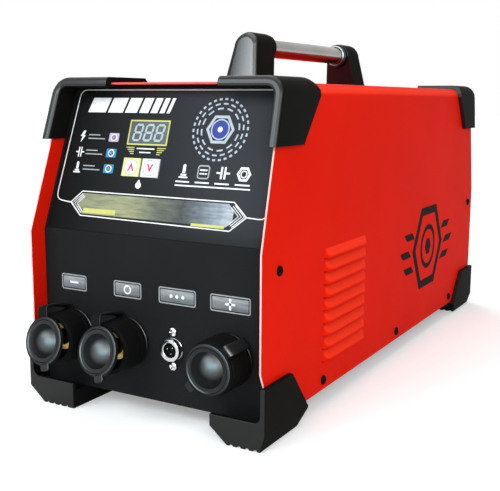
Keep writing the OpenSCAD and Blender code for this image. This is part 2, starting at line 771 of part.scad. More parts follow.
// Weld socket in the front frame: groove for the strap's ring, barrel, neck in the panel
groove_w = 3;
ring_wall = 2.4;
groove_r = barrel_r - ring_wall;
contact_face = barrel_len - mouth_depth;
contact_flange = 3;
module socket_body(i) color(black_plastic) at_socket(i) difference() {
    union() {
        bar(barrel_r, groove_w, barrel_len);
        bar(groove_r, 0, groove_w);
        bar(neck_r, -neck_len, 0);
    }
    bar(mouth_r, contact_face, barrel_len + over);
    bar(contact_r + running, -neck_len - over, barrel_len);
}
module socket_contact(i) color(brass) at_socket(i) difference() {
    union() {
        bar(contact_r, -neck_len, contact_face);
        bar(neck_r, -neck_len - contact_flange, -neck_len);
        bar(stud_r, -neck_len - contact_flange - stud_len, -neck_len);
    }
    bar(contact_bore_r, contact_face - contact_bore_len, contact_face + over);
}
nut_t = 6;
nut_r = neck_r * 1.4;
module socket_nuts() color(zinc) for (i = [0 : 2])
    at_socket(i) hex_nut(nut_r, neck_r + snug, -panel_t - nut_t, -panel_t);
module socket_body_1() socket_body(0);
module socket_body_2() socket_body(1);
module socket_body_3() socket_body(2);
module socket_contact_1() socket_contact(0);
module socket_contact_2() socket_contact(1);
module socket_contact_3() socket_contact(2);

// Rubber strap: ring in the barrel's groove, band that bows out to the fold ahead of the barrel
strap_steps = 8;
strap_base = barrel_r + fit + strap_t / 2;
fold_z = barrel_len + cap_t / 2;
function fold_r(rise) = barrel_r + rise;
function strap_mid(rise, s) = [strap_base + (fold_r(rise) - strap_base) * sin(90 * s), fold_z * s];
module strap_outline(rise) polygon(concat(
    [for (i = [0 : strap_steps]) strap_mid(rise, i / strap_steps) + [strap_t / 2, 0]],
    [for (i = [strap_steps : -1 : 0]) strap_mid(rise, i / strap_steps) - [strap_t / 2, 0]]));
module cap_strap(i, rise) color(black_rubber) at_socket(i) rotate([0, 0, strap_angles[i]]) {
    ring(barrel_r, groove_r + snug, 0, groove_w);
    intersection() {
        translate([groove_r + over, -strap_w / 2, 0])
            cube([strap_base + strap_t / 2 - groove_r - over, strap_w, groove_w - fit]);
        bar(2 * barrel_r, 0, groove_w);
    }
    along_y(-strap_w / 2, strap_w / 2) strap_outline(rise);
    translate([fold_r(rise), 0, fold_z]) rotate([90, 0, 0]) bar(strap_t / 2, -strap_w / 2, strap_w / 2);
}
module cap_strap_1() cap_strap(0, slack_rise);
module cap_strap_2() cap_strap(1, slack_rise);
module cap_strap_3() cap_strap(2, taut_rise);

// Dust cap: disc with dome and tab, plug on its back, lug to the strap's fold
dome_sphere_r = (dome_r * dome_r + dome_h * dome_h) / (2 * dome_h);
plug_wall = 2.4;
tab_t = cap_t * 0.7;
module cap_shape(rise) {
    bar(cap_r, barrel_len, barrel_len + cap_t);
    intersection() {
        translate([0, 0, barrel_len + cap_t + dome_h - dome_sphere_r]) sphere(r = dome_sphere_r);
        bar(dome_sphere_r, barrel_len + cap_t / 2, barrel_len + cap_t + dome_h);
    }
    ring(plug_r, plug_r - plug_wall, barrel_len - plug_len, barrel_len + cap_t / 2);
    translate([-cap_r - tab_len, -tab_w / 2, barrel_len + cap_t - tab_t])
        cube([tab_len + tab_t, tab_w, tab_t]);
    translate([dome_r, -strap_w / 2, fold_z - strap_t / 2])
        cube([fold_r(rise) - strap_t / 2 - fit - dome_r, strap_w, strap_t]);
}
module dust_cap(i, rise, open) color(black_rubber) at_socket(i) rotate([0, 0, strap_angles[i]])
    translate([fold_r(rise), 0, fold_z]) rotate([0, open, 0]) translate([-fold_r(rise), 0, -fold_z])
        cap_shape(rise);
module dust_cap_1() dust_cap(0, slack_rise, ajar);
module dust_cap_2() dust_cap(1, slack_rise, ajar);
module dust_cap_3() dust_cap(2, taut_rise, 0);

// Control socket: shell with a flange behind the panel, insert with pins, two screws with nuts
shell_bore_r = shell_r - shell_wall;
flange_t = 2;
pin_r = shell_bore_r * 0.12;
module control_socket_shell() color(bright_steel) difference() {
    at_shell() {
        ring(shell_r, shell_bore_r, -shell_back, shell_out);
        difference() {
            block(2 * shell_r, shell_screw_gap + 2 * shell_wall + 4 * shell_screw_r,
                -panel_t - flange_t, -panel_t);
            bar(shell_r - shell_wall / 2, -panel_t - flange_t - over, over);
        }
    }
    at_shell_screws() bar(shell_screw_r + snug, -panel_t - flange_t - over, over);
}
module control_socket_insert() color(black_plastic) at_shell() {
    bar(shell_bore_r - running, -shell_back, shell_out / 2);
    for (i = [0 : pin_count - 1]) rotate([0, 0, 360 * i / pin_count + 45])
        translate([shell_bore_r * 0.5, 0, 0]) bar(pin_r, 0, shell_out);
}
shell_nut_t = 2.4;
module control_socket_screws() color(bright_steel) at_shell_screws() {
    screw(shell_screw_r, 2.3 * shell_screw_r, 1.5 * shell_screw_r, panel_t + flange_t + 2 * shell_nut_t);
    hex_nut(2 * shell_screw_r, shell_screw_r + snug, -panel_t - flange_t - shell_nut_t, -panel_t - flange_t);
}

// Fan: square frame with a boss on four struts at its inner end, rotor on a shaft, flat ring guard outside
fan_inner = -panel_t - fan_d;
strut_w = 5;
strut_t = 3;
boss_len = 9;
hub_len = fan_d - boss_len - 4 * fit;
hub_low = fan_inner + boss_len + fit;
blade_reach = fan_r - strut_w * 0.3;
guard_wire = 2;
guard_rings = 4;
module fan_frame() color(black_plastic) difference() {
    at_fan() {
        difference() {
            block(fan_w, fan_w, fan_inner, -panel_t);
            bar(fan_r, fan_inner - over, 0);
        }
        for (turn = [0 : 3]) rotate([0, 0, 45 + 90 * turn]) translate([0, -strut_w / 2, fan_inner])
            cube([fan_r + strut_w / 2, strut_w, strut_t]);
        bar(hub_r, fan_inner, fan_inner + strut_t);
        bar(3 * shaft_r, fan_inner, fan_inner + boss_len);
    }
    at_fan() bar(shaft_r + running, fan_inner + strut_t / 2, 0);
    at_fan_screws() bar(screw_r + screw_play, fan_inner - over, 0);
}
module fan_rotor() color(black_plastic) at_fan() {
    bar(shaft_r, fan_inner + strut_t, hub_low + fit);
    bar(hub_r, hub_low, hub_low + hub_len);
    intersection() {
        bar(blade_reach, fan_inner + strut_t + fit, -panel_t - fit);
        for (i = [0 : blade_count - 1]) rotate([0, 0, 360 * i / blade_count])
            translate([hub_r / 2, 0, hub_low + hub_len / 2]) rotate([blade_pitch, 0, 0])
                translate([0, -blade_chord / 2, -strut_t / 4]) cube([fan_r, blade_chord, strut_t / 2]);
    }
}
module fan_guard() color(zinc) difference() {
    union() {
        at_fan() {
            for (i = [1 : guard_rings])
                ring(fan_r * i / guard_rings, fan_r * i / guard_rings - guard_wire, 0, guard_wire);
            for (turn = [0, 1]) rotate([0, 0, 45 + 90 * turn])
                block(fan_screw_gap * sqrt(2), 2 * guard_wire, 0, guard_wire);
        }
        at_fan_screws() bar(screw_head_r + guard_wire / 2, 0, guard_wire);
    }
    at_fan_screws() bar(screw_r + screw_play, -over, guard_wire + over);
}

// Power switch: bezel and box with a pocket, rocker on two short pins
bezel_rim = 2.5;
bezel_t = 2;
pivot_z = -1.5;
pocket_floor = -switch_d / 2;
pivot_r = 1.5;
pivot_len = switch_wall - fit;
rocker_front = 5;
rocker_dip = rocker_h / 2 * tan(rocker_tilt);
module switch_body() color(black_plastic) at_switch() difference() {
    union() {
        block(switch_w, switch_h, -switch_d, bezel_t);
        block(switch_w + 2 * bezel_rim, switch_h + 2 * bezel_rim, 0, bezel_t);
    }
    block(rocker_w + 2 * fit, rocker_h + 2 * rocker_room, pocket_floor, bezel_t + over);
    translate([0, 0, pivot_z]) rotate([0, 90, 0])
        bar(pivot_r + running, -rocker_w / 2 - switch_wall, rocker_w / 2 + switch_wall);
}
module rocker_side() polygon([[-rocker_h / 2, rocker_front], [0, rocker_front - rocker_dip],
    [rocker_h / 2, rocker_front], [rocker_h / 2, 0], [rocker_h / 4, -pivot_r - fit],
    [-rocker_h / 4, -pivot_r - fit], [-rocker_h / 2, 0]]);
module switch_rocker() color(red_paint) at_switch() translate([0, 0, pivot_z]) rotate([-rocker_tilt, 0, 0]) {
    along_x(-rocker_w / 2, rocker_w / 2) rocker_side();
    rotate([0, 90, 0]) bar(pivot_r, -rocker_w / 2 - pivot_len, rocker_w / 2 + pivot_len);
}

// Cable gland with its lock nut, and earth stud with a hexagon collar outside and a nut inside
gland_hex_r = gland_r * 1.42;
gland_hex_h = 5;
gland_cone_h = 6;
module cable_gland() color(black_plastic) at_gland() {
    difference() {
        union() {
            bar(gland_r, -panel_t - 2 * nut_t, 0);
            cylinder(r = gland_hex_r, h = gland_hex_h, $fn = 6);
            bar(gland_r * 1.15, 0, gland_out - gland_cone_h);
            translate([0, 0, gland_out - gland_cone_h])
                cylinder(r1 = gland_r * 1.15, r2 = gland_r * 0.8, h = gland_cone_h);
        }
        bar(gland_bore_r, -panel_t - 3 * nut_t, gland_out + over);
    }
    hex_nut(gland_hex_r, gland_r + snug, -panel_t - nut_t, -panel_t);
}
earth_nut_r = earth_r * 1.85;
earth_nut_h = earth_r * 1.5;
module earth_stud() color(brass) at_earth() {
    bar(earth_r, -panel_t - 2 * earth_nut_h, earth_out);
    hex_nut(earth_nut_r, earth_r + snug, -panel_t - earth_nut_h, -panel_t);
    cylinder(r = earth_nut_r, h = earth_nut_h, $fn = 6);
}

// Capacitor bank on the tray: two columns, each can with two terminals, clamp plate round the cans
bank_share = 0.6;
bank_y = bank_share * case_d;
function row_y(i) = (i - (can_rows - 1) / 2) * can_pitch;
module at_cans() for (side = [-1, 1], i = [0 : can_rows - 1])
    translate([side * can_pitch / 2, bank_y + row_y(i), tray_top]) children();
module capacitors() color([0.16, 0.20, 0.34]) at_cans() {
    bar(can_r, 0, can_h);
    for (way = [-1, 1]) translate([way * terminal_gap / 2, 0, 0]) bar(terminal_r, can_h, can_h + terminal_h);
}
clamp_share = 0.6;
clamp_z = clamp_share * can_h;
clamp_leg = 6;
clamp_w = 2 * can_pitch + 2 * clamp_leg;
clamp_len = can_rows * can_pitch + 2 * clamp_leg;
module capacitor_clamp() color(zinc) translate([0, bank_y, tray_top]) {
    difference() {
        block(clamp_w, clamp_len, clamp_z, clamp_z + tray_t);
        translate([0, -bank_y, -tray_top]) at_cans()
            bar(can_r + fit, clamp_z - over, clamp_z + tray_t + over);
    }
    for (x = [-1, 1], y = [-1, 1])
        translate([x * (clamp_w - clamp_leg) / 2, y * (clamp_len - clamp_leg) / 2, 0])
            block(clamp_leg, clamp_leg, 0, clamp_z);
}
terminal_top = tray_top + can_h + terminal_h;
busbar_len = (can_rows - 1) * can_pitch + 2 * busbar_w;
inner_terminal_x = (can_pitch - terminal_gap) / 2;
outer_terminal_x = (can_pitch + terminal_gap) / 2;
module positive_busbar() color(copper) translate([0, bank_y, 0])
    block(2 * inner_terminal_x + busbar_w, busbar_len, terminal_top, terminal_top + busbar_t);
module negative_busbar() color(copper) translate([0, bank_y, 0]) {
    for (side = [-1, 1]) translate([side * outer_terminal_x, 0, 0])
        block(busbar_w, busbar_len, terminal_top, terminal_top + busbar_t);
    translate([0, busbar_len / 2 + busbar_w / 2, 0])
        block(2 * outer_terminal_x + busbar_w, busbar_w, terminal_top, terminal_top + busbar_t);
}

// Charging transformer: framed core with two windows, coil round its middle limb
core_x_share = -0.2;
charge_share = 0.28;
core_window_w = (core_w - 4 * limb_w) / 2;
core_window_h = core_h - 2 * limb_w;
coil_w = core_w - 2 * limb_w - 2 * fit;
module at_core() translate([core_x_share * case_w, charge_share * case_d, tray_top]) children();
module transformer_core() color(zinc) at_core() difference() {
    block(core_w, core_d, 0, core_h);
    for (side = [-1, 1]) translate([side * (limb_w + core_window_w / 2), 0, 0])
        block(core_window_w, core_d + 2 * over, limb_w, limb_w + core_window_h);
}
module transformer_coil() color(copper) at_core() difference() {
    block(coil_w, core_d + 2 * coil_out, limb_w, limb_w + core_window_h - fit);
    block(2 * (limb_w + fit), core_d + 2 * fit, limb_w - over, limb_w + core_window_h + over);
}

// Heat sink with its fins towards the right side, thyristor module on its plate
sink_x_share = 0.2;
sink_x = sink_x_share * case_w;
thyristor_w = 22;
thyristor_share = 0.34;
module at_sink() translate([sink_x, charge_share * case_d, tray_top]) children();
module heat_sink() color(bright_steel) at_sink() {
    translate([0, -sink_len / 2, 0]) cube([sink_t, sink_len, sink_h]);
    for (i = [0 : fin_count - 1])
        translate([sink_t, -sink_len / 2 + i * (sink_len - fin_t) / (fin_count - 1), 0])
            cube([fin_len, fin_t, sink_h]);
}
module thyristor() color(black_plastic) at_sink()
    translate([-thyristor_w, -sink_len * thyristor_share / 2, sink_h * 0.15]) {
        cube([thyristor_w, sink_len * thyristor_share, sink_h * 0.7]);
        for (share = [0.2, 0.5, 0.8]) translate([0, sink_len * thyristor_share / 2, sink_h * 0.7 * share])
            rotate([0, -90, 0]) bar(terminal_r, 0, terminal_h);
    }

// The origin lies under the middle of the whole object: an open cap reaches furthest forward, the gland back
tab_reach = (fold_r(slack_rise) + cap_r + tab_len) * sin(ajar) + cap_t / 2 * cos(ajar);
dome_reach = fold_r(slack_rise) * sin(ajar) + (cap_t / 2 + dome_h) * cos(ajar);
front_reach = panel_recess - fold_z - max(tab_reach, dome_reach);
rear_reach = rear_face + gland_out;
origin_y = (front_reach + rear_reach) / 2;
module place() translate([0, -origin_y, 0]) children();

place() top_cover();
place() base_tray();
place() front_panel();
place() leaning_panel();
place() front_rim();
place() rear_panel();
place() side_screws();
place() panel_screws();
place() guard_front_left();
place() guard_front_right();
place() guard_rear_left();
place() guard_rear_right();
place() foot_front_left();
place() foot_front_right();
place() foot_rear_left();
place() foot_rear_right();
place() handle_front_post();
place() handle_rear_post();
place() handle_tube();
place() handle_collars();
place() handle_bolts();
place() control_overlay();
place() display_window();
place() control_board();
place() board_modules();
place() board_standoffs();
place() up_key();
place() down_key();
place() indicator_lamps();
place() socket_body_1();
place() socket_body_2();
place() socket_body_3();
place() socket_contact_1();
place() socket_contact_2();
place() socket_contact_3();
place() socket_nuts();
place() cap_strap_1();
place() cap_strap_2();
place() cap_strap_3();
place() dust_cap_1();
place() dust_cap_2();
place() dust_cap_3();
place() control_socket_shell();
place() control_socket_insert();
place() control_socket_screws();
place() fan_frame();
place() fan_rotor();
place() fan_guard();
place() switch_body();
place() switch_rocker();
place() cable_gland();
place() earth_stud();
place() capacitors();
place() capacitor_clamp();
place() positive_busbar();
place() negative_busbar();
place() transformer_core();
place() transformer_coil();
place() heat_sink();
place() thyristor();
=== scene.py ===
# Looks of a portable stud welder: finishes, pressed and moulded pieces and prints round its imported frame.
from collections import namedtuple
from contextlib import contextmanager
from math import asin, atan2, cos, pi, radians, sin, tan

import bpy
from mathutils import Matrix, Vector


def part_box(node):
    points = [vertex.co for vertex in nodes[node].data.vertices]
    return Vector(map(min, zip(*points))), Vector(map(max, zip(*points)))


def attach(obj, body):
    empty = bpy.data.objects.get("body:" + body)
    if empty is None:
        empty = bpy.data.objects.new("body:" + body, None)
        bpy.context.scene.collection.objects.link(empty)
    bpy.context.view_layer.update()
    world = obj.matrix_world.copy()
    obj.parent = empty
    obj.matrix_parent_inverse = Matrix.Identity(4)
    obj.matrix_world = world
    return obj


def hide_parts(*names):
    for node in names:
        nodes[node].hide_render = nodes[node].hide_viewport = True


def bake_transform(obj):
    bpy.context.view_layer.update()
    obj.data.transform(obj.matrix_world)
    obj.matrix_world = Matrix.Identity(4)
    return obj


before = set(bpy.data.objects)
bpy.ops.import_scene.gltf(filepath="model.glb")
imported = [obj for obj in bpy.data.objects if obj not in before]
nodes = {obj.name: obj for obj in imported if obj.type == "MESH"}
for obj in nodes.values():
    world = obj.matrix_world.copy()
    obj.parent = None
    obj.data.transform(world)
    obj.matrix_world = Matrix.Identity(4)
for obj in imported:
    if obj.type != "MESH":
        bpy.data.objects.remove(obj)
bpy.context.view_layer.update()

# Sizes in millimetres, measured from the cover's lower front edge and the floor
MM = 0.001
CASE_W = 200
CASE_D = 493
CASE_TOP = 243
CREASE_Z = 133
RIDE_H = 14
SIDE_LEAN = 5
FRONT_LEAN = 36.4
REAR_LEAN = 6
SHEET_T = 1.5
SHEET_ROUND = 0.3
BEND_R = 9
CORNER_CUT = (18, 39)
PANEL_FACE = 14
REAR_FACE = 487
OVERLAY_T = 0.8
CORNERS = ("front_left", "front_right", "rear_left", "rear_right")
SLOPE = atan2(FRONT_LEAN, CASE_TOP - CREASE_Z)

# Frames of reference, from millimetres to the row frame
FRONT_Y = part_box("top_cover")[0].y
CASE = Matrix.Translation((0, FRONT_Y, 0)) @ Matrix.Scale(MM, 4)


def shift(x, y, z):
    return Matrix.Translation((x, y, z))


def turn(degrees, axis):
    return Matrix.Rotation(radians(degrees), 4, axis)


def at_front(x, z):
    """On the upright field: X right, Y up, Z out of the panel."""
    return CASE @ shift(x, PANEL_FACE, z) @ turn(90, "X")


def on_slope(x=0, up=0):
    """On the leaning field: X right, Y up the slope, Z out of the panel."""
    lean = Matrix.Rotation(pi / 2 - SLOPE, 4, "X")
    return CASE @ shift(0, PANEL_FACE, CREASE_Z) @ lean @ shift(x, up, 0)


def at_rear(x, z):
    """On the rear panel: X right seen from the front, Z out of the panel, Y down."""
    return CASE @ shift(x, REAR_FACE, z) @ turn(-90, "X")


def at_side(way, y, z):
    """On the cover's right (1) or left (-1) side: X level along it, Y up, Z outwards."""
    return CASE @ shift(way * CASE_W / 2, y, z) @ turn(90 * way, "Z") @ turn(90, "X")


# Modelling steps


def deselect():
    bpy.ops.object.select_all(action="DESELECT")


def only(piece):
    """Makes a piece the one selected and active object."""
    deselect()
    piece.select_set(True)
    bpy.context.view_layer.objects.active = piece
    return piece


def added(name):
    """The primitive that was just added, with its size and place in its mesh."""
    piece = only(bpy.context.object)
    piece.name = piece.data.name = name
    bpy.ops.object.transform_apply(location=True, rotation=True, scale=True)
    return piece


@contextmanager
def picked(piece, mode, test=lambda part: True):
    """Edit mode with the points, edges or faces selected that pass a test."""
    only(piece)
    bpy.ops.object.mode_set(mode="EDIT")
    bpy.ops.mesh.select_mode(type=mode)
    bpy.ops.mesh.select_all(action="DESELECT")
    bpy.ops.object.mode_set(mode="OBJECT")
    mesh = piece.data
    for part in {"VERT": mesh.vertices, "EDGE": mesh.edges, "FACE": mesh.polygons}[mode]:
        part.select = bool(test(part))
    bpy.ops.object.mode_set(mode="EDIT")
    yield
    bpy.ops.object.mode_set(mode="OBJECT")


def closed_up():
    """In edit mode, merges doubles and turns all faces outwards."""
    bpy.ops.mesh.select_all(action="SELECT")
    bpy.ops.mesh.remove_doubles(threshold=0.001)
    bpy.ops.mesh.normals_make_consistent(inside=False)


def modify(piece, kind, **settings):
    only(piece)
    modifier = piece.modifiers.new(kind.lower(), kind)
    for key, value in settings.items():
        setattr(modifier, key, value)
    bpy.ops.object.modifier_apply(modifier=modifier.name)
    return piece


def soften(piece, width, segments=3, angle=30):
    """Rounds every edge sharper than an angle."""
    return modify(piece, "BEVEL", width=width, segments=segments, limit_method="ANGLE",
                  angle_limit=radians(angle), miter_outer="MITER_ARC")


def bevel_edges(piece, width, segments, test):
    """Rounds the edges whose two ends pass a test."""
    points = piece.data.vertices
    with picked(piece, "EDGE", lambda edge: test(*(points[i].co for i in edge.vertices))):
        bpy.ops.mesh.bevel(offset=width, segments=segments, affect="EDGES")


def settle(piece, matrix):
    """Puts a piece that was modelled in millimetres where it belongs."""
    only(piece)
    piece.matrix_world = matrix
    bpy.ops.object.transform_apply(location=True, rotation=True, scale=True)
    return piece


def joined(name, pieces):
    deselect()
    for piece in pieces:
        piece.select_set(True)
    bpy.context.view_layer.objects.active = pieces[0]
    bpy.ops.object.join()
    piece = bpy.context.object
    piece.name = piece.data.name = name
    return piece


def dress(piece, finish, body, slot, *stands_for, angle=35):
    """Gives a finished piece its shading, material and body, and hides the nodes it stands for; its slot is not
    used.
    """
    only(piece)
    bpy.ops.object.shade_smooth_by_angle(angle=radians(angle))
    modify(piece, "WEIGHTED_NORMAL", keep_sharp=True)
    piece.data.materials.clear()
    piece.data.materials.append(finish)
    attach(piece, body)
    if stands_for:
        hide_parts(*stands_for)
    return piece


def duplicate(piece, matrix, name="copy"):
    """A copy with its own mesh, put in its place."""
    copy = piece.copy()
    copy.data = piece.data.copy()
    copy.name = copy.data.name = name
    bpy.context.scene.collection.objects.link(copy)
    return settle(copy, matrix)


def discard(piece):
    bpy.data.objects.remove(piece, do_unlink=True)


def repeated(piece, matrices):
    """Copies of a piece at all its places, in its stead."""
    copies = [duplicate(piece, matrix) for matrix in matrices]
    discard(piece)
    return copies


def rounded(points, radius, steps=4):
    """A line through points with its inner corners rounded."""
    points = [Vector(point) for point in points]
    line = [points[0]]
    for before, corner, after in zip(points, points[1:], points[2:]):
        back, ahead = before - corner, after - corner
        start = corner + back.normalized() * min(radius, back.length / 2)
        end = corner + ahead.normalized() * min(radius, ahead.length / 2)
        for step in range(steps + 1):
            share = step / steps
            line.append(start * (1 - share) ** 2 + corner * 2 * share * (1 - share) + end * share ** 2)
    return line + [points[-1]]


def drawn(name, points):
    """A line through points, drawn by extruding one point after another."""
    deselect()
    bpy.ops.mesh.primitive_plane_add(size=1)
    piece = added(name)
    with picked(piece, "VERT"):
        bpy.ops.mesh.merge(type="CENTER")
        bpy.ops.transform.translate(value=points[0])
        for start, end in zip(points, points[1:]):
            bpy.ops.mesh.extrude_vertices_move(TRANSFORM_OT_translate={"value": end - start})
    return piece


def lathe(name, profile, steps=64):
    """A body of revolution about Z from points of radius and height."""
    piece = drawn(name, [Vector((radius, 0, height)) for radius, height in profile])
    with picked(piece, "VERT"):
        bpy.ops.mesh.spin(steps=steps, angle=2 * pi, center=(0, 0, 0), axis=(0, 0, 1))
        closed_up()
    return piece


def flat(name, outline, low):
    """One flat face at a height, inside an outline."""
    corners = [Vector((x, y, low)) for x, y in outline]
    piece = drawn(name, corners + corners[:1])
    with picked(piece, "VERT"):
        bpy.ops.mesh.remove_doubles(threshold=0.01)
        bpy.ops.mesh.edge_face_add()
    return piece


def raise_faces(piece, height):
    with picked(piece, "FACE"):
        bpy.ops.mesh.extrude_region_move(TRANSFORM_OT_translate={"value": (0, 0, height)})
        closed_up()
    return piece


def plate(name, outline, low, high):
    return raise_faces(flat(name, outline, low), high - low)


def frame_plate(name, outline, line, low, high):
    """The rim of an outline, as wide as a line."""
    piece = flat(name, outline, low)
    with picked(piece, "FACE"):
        bpy.ops.mesh.inset(thickness=line)
        bpy.ops.mesh.delete(type="FACE")
    return raise_faces(piece, high - low)


def node_copy(node, name):
    """A clean copy of a CAD node's mesh in millimetres: merged, with whole flat faces."""
    mesh = nodes[node].data.copy()
    piece = bpy.data.objects.new(name, mesh)
    bpy.context.scene.collection.objects.link(piece)
    settle(piece, CASE.inverted())
    bpy.ops.mesh.customdata_custom_splitnormals_clear()
    with picked(piece, "FACE"):
        bpy.ops.mesh.remove_doubles(threshold=0.001)
        bpy.ops.mesh.dissolve_limited(angle_limit=radians(0.4))
    return piece


def softened_node(node, name, width):
    """A CAD node's shape with its edges rounded, in place."""
    return settle(soften(node_copy(node, name), width), CASE)


# Outlines in the plane


def box_outline(x0, y0, x1, y1, corner=0.0):
    points = [(x0, (y0 + y1) / 2), (x0, y1), (x1, y1), (x1, y0), (x0, y0), (x0, (y0 + y1) / 2)]
    return rounded(points, corner)[1:-1] if corner else points[1:-1]


def ribbon_outline(points, width):
    """Both edges of a line that is drawn along points."""
    points = [Vector(point) for point in points]
    ahead = [(b - a).normalized() for a, b in zip(points, points[1:])]
    ways = [ahead[0]] + [(a + b).normalized() for a, b in zip(ahead, ahead[1:])] + [ahead[-1]]
    sides = [Vector((-way.y, way.x)) * width / 2 for way in ways]
    left = [point + side for point, side in zip(points, sides)]
    right = [point - side for point, side in zip(points, sides)]
    return left + right[::-1]


def arc_points(x, y, radius, start, end, steps):
    angles = [radians(start + (end - start) * i / steps) for i in range(steps + 1)]
    return [(x + radius * cos(angle), y + radius * sin(angle)) for angle in angles]


def disc_outline(x, y, radius, sides=32):
    return arc_points(x, y, radius, 0, 360, sides)[:-1]


# Materials


class Signal:
    """A value in a material. Sums and products on it add Math nodes."""

    def __init__(self, finish, socket):
        self.finish = finish
        self.socket = socket

    def math(self, operation, first, second):
        return self.finish.node("ShaderNodeMath", {"operation": operation}, {0: first, 1: second})

    def __add__(self, other):
        return self.math("ADD", self, other)

    __radd__ = __add__

    def __mul__(self, other):
        return self.math("MULTIPLY", self, other)

    __rmul__ = __mul__

    def __sub__(self, other):
        return self.math("SUBTRACT", self, other)

    def __rsub__(self, other):
        return self.math("SUBTRACT", other, self)

    def __abs__(self):
        return self.math("ABSOLUTE", self, 0.0)


class Shading:
    """The nodes of a material or of the world, round its shader."""

    def __init__(self, owner, shader):
        owner.use_nodes = True
        self.tree = owner.node_tree
        self.shader = self.tree.nodes[shader]

    def node(self, kind, settings=None, sockets=None, output=0):
        made = self.tree.nodes.new(kind)
        for key, value in (settings or {}).items():
            if key == "stops":
                elements = made.color_ramp.elements
                while len(elements) < len(value):
                    elements.new(1.0)
                for element, (position, colour) in zip(elements, value):
                    element.position = position
                    element.color = (*colour, 1.0)
            else:
                setattr(made, key, value)
        for key, value in (sockets or {}).items():
            self.feed(made.inputs[key], value)
        return Signal(self, made.outputs[output])

    def feed(self, socket, value):
        if isinstance(value, Signal):
            self.tree.links.new(value.socket, socket)
        elif socket.type == "RGBA" and len(value) == 3:
            socket.default_value = (*value, 1.0)
        else:
            socket.default_value = value

    def set(self, **inputs):
        for key, value in inputs.items():
            self.feed(self.shader.inputs[key.replace("_", " ").title().replace("Ior", "IOR")], value)
        return self


class Finish(Shading):
    """A procedural material on object coordinates."""

    def __init__(self, name, **constants):
        self.material = bpy.data.materials.new(name)
        super().__init__(self.material, "Principled BSDF")
        self.set(**constants)
        self.place = self.node("ShaderNodeTexCoord", output="Object")

    def noise(self, scale, detail=2.0, roughness=0.5, stretch=None):
        place = self.place
        if stretch:
            place = self.node("ShaderNodeMapping", sockets={"Vector": place, "Scale": stretch})
        return self.node("ShaderNodeTexNoise",
                         sockets={"Vector": place, "Scale": scale, "Detail": detail, "Roughness": roughness})

    def ramp(self, value, *stops):
        return self.node("ShaderNodeValToRGB", {"stops": stops}, {"Fac": value})

    def mix(self, mask, first, second):
        return self.node("ShaderNodeMix", {"data_type": "RGBA"}, {0: mask, 6: first, 7: second}, output=2)

    def axis(self, name, source=None):
        return self.node("ShaderNodeSeparateXYZ", sockets={0: source or self.place}, output=name)

    def facing(self, name):
        return self.axis(name, self.node("ShaderNodeTexCoord", output="Normal"))

    def between(self, value, low, high):
        """Zero below low, one above high, smooth between them."""
        return self.node("ShaderNodeMapRange", {"interpolation_type": "SMOOTHSTEP"},
                         {"Value": value, "From Min": low, "From Max": high})

    def bump(self, height, distance):
        """Relief in metres, from a height that runs from zero to one."""
        return self.set(normal=self.node("ShaderNodeBump", sockets={"Height": height, "Distance": distance,
                                                                    "Strength": 1.0}))


def powder_coat(name, colour, deep, roughness, peel, specular):
    """Sprayed paint: fine orange peel, slow mottling, a little dust in the sheen."""
    finish = Finish(name, specular_ior_level=specular)
    mottling = finish.noise(9.0, 3.0)
    peel_height = finish.noise(1100.0, 1.0)
    finish.set(base_color=finish.mix(finish.between(mottling, 0.3, 0.7), deep, colour))
    finish.set(roughness=roughness - 0.05 + 0.06 * finish.noise(60.0) + 0.04 * peel_height)
    return finish.bump(peel_height, peel)


def red_paint():
    """Satin red paint with painted light that brightens the faces tilted upwards on the louvres and bends; the
    sheet's cut edges are pale, partly rubbed paint and partly a painted highlight.
    """
    finish = powder_coat("red_paint", (0.72, 0.012, 0.003), (0.68, 0.010, 0.002), 0.45, 0.00006, 0.008)
    coat = finish.shader.inputs["Base Color"].links[0].from_socket
    # Cut edges: pale rubbed paint together with a painted highlight, less of it near the top.
    cut_edge = finish.between(abs(finish.facing("Y")), 0.84, 0.93)
    rubbed = finish.between(finish.noise(55.0, 3.0), 0.25, 0.5)
    upper = finish.between(finish.axis("Z"), (CASE_TOP - 8) * MM, (CASE_TOP - 3) * MM)
    pale = cut_edge * (0.5 + 0.3 * rubbed) * (1 - 0.8 * upper)
    # Painted light: faces tilted upwards, on the louvres and along the top bends, are painted a brighter
    # orange-red.
    tilt = finish.facing("Z")
    raised = finish.between(tilt, 0.10, 0.40) * (1 - finish.between(tilt, 0.70, 0.95))
    painted = finish.mix(0.8 * raised, Signal(finish, coat), (0.95, 0.045, 0.016))
    finish.set(base_color=finish.mix(pale, painted, (0.80, 0.60, 0.56)))
    return finish.material


def black_paint():
    """Fine textured black paint of the panels and the tray."""
    return powder_coat("black_paint", (0.0130, 0.0132, 0.0135), (0.0110, 0.0112, 0.0115), 0.55, 0.00009,
                       0.03).material


FRONT_WAY = (0, -cos(SLOPE), sin(SLOPE))


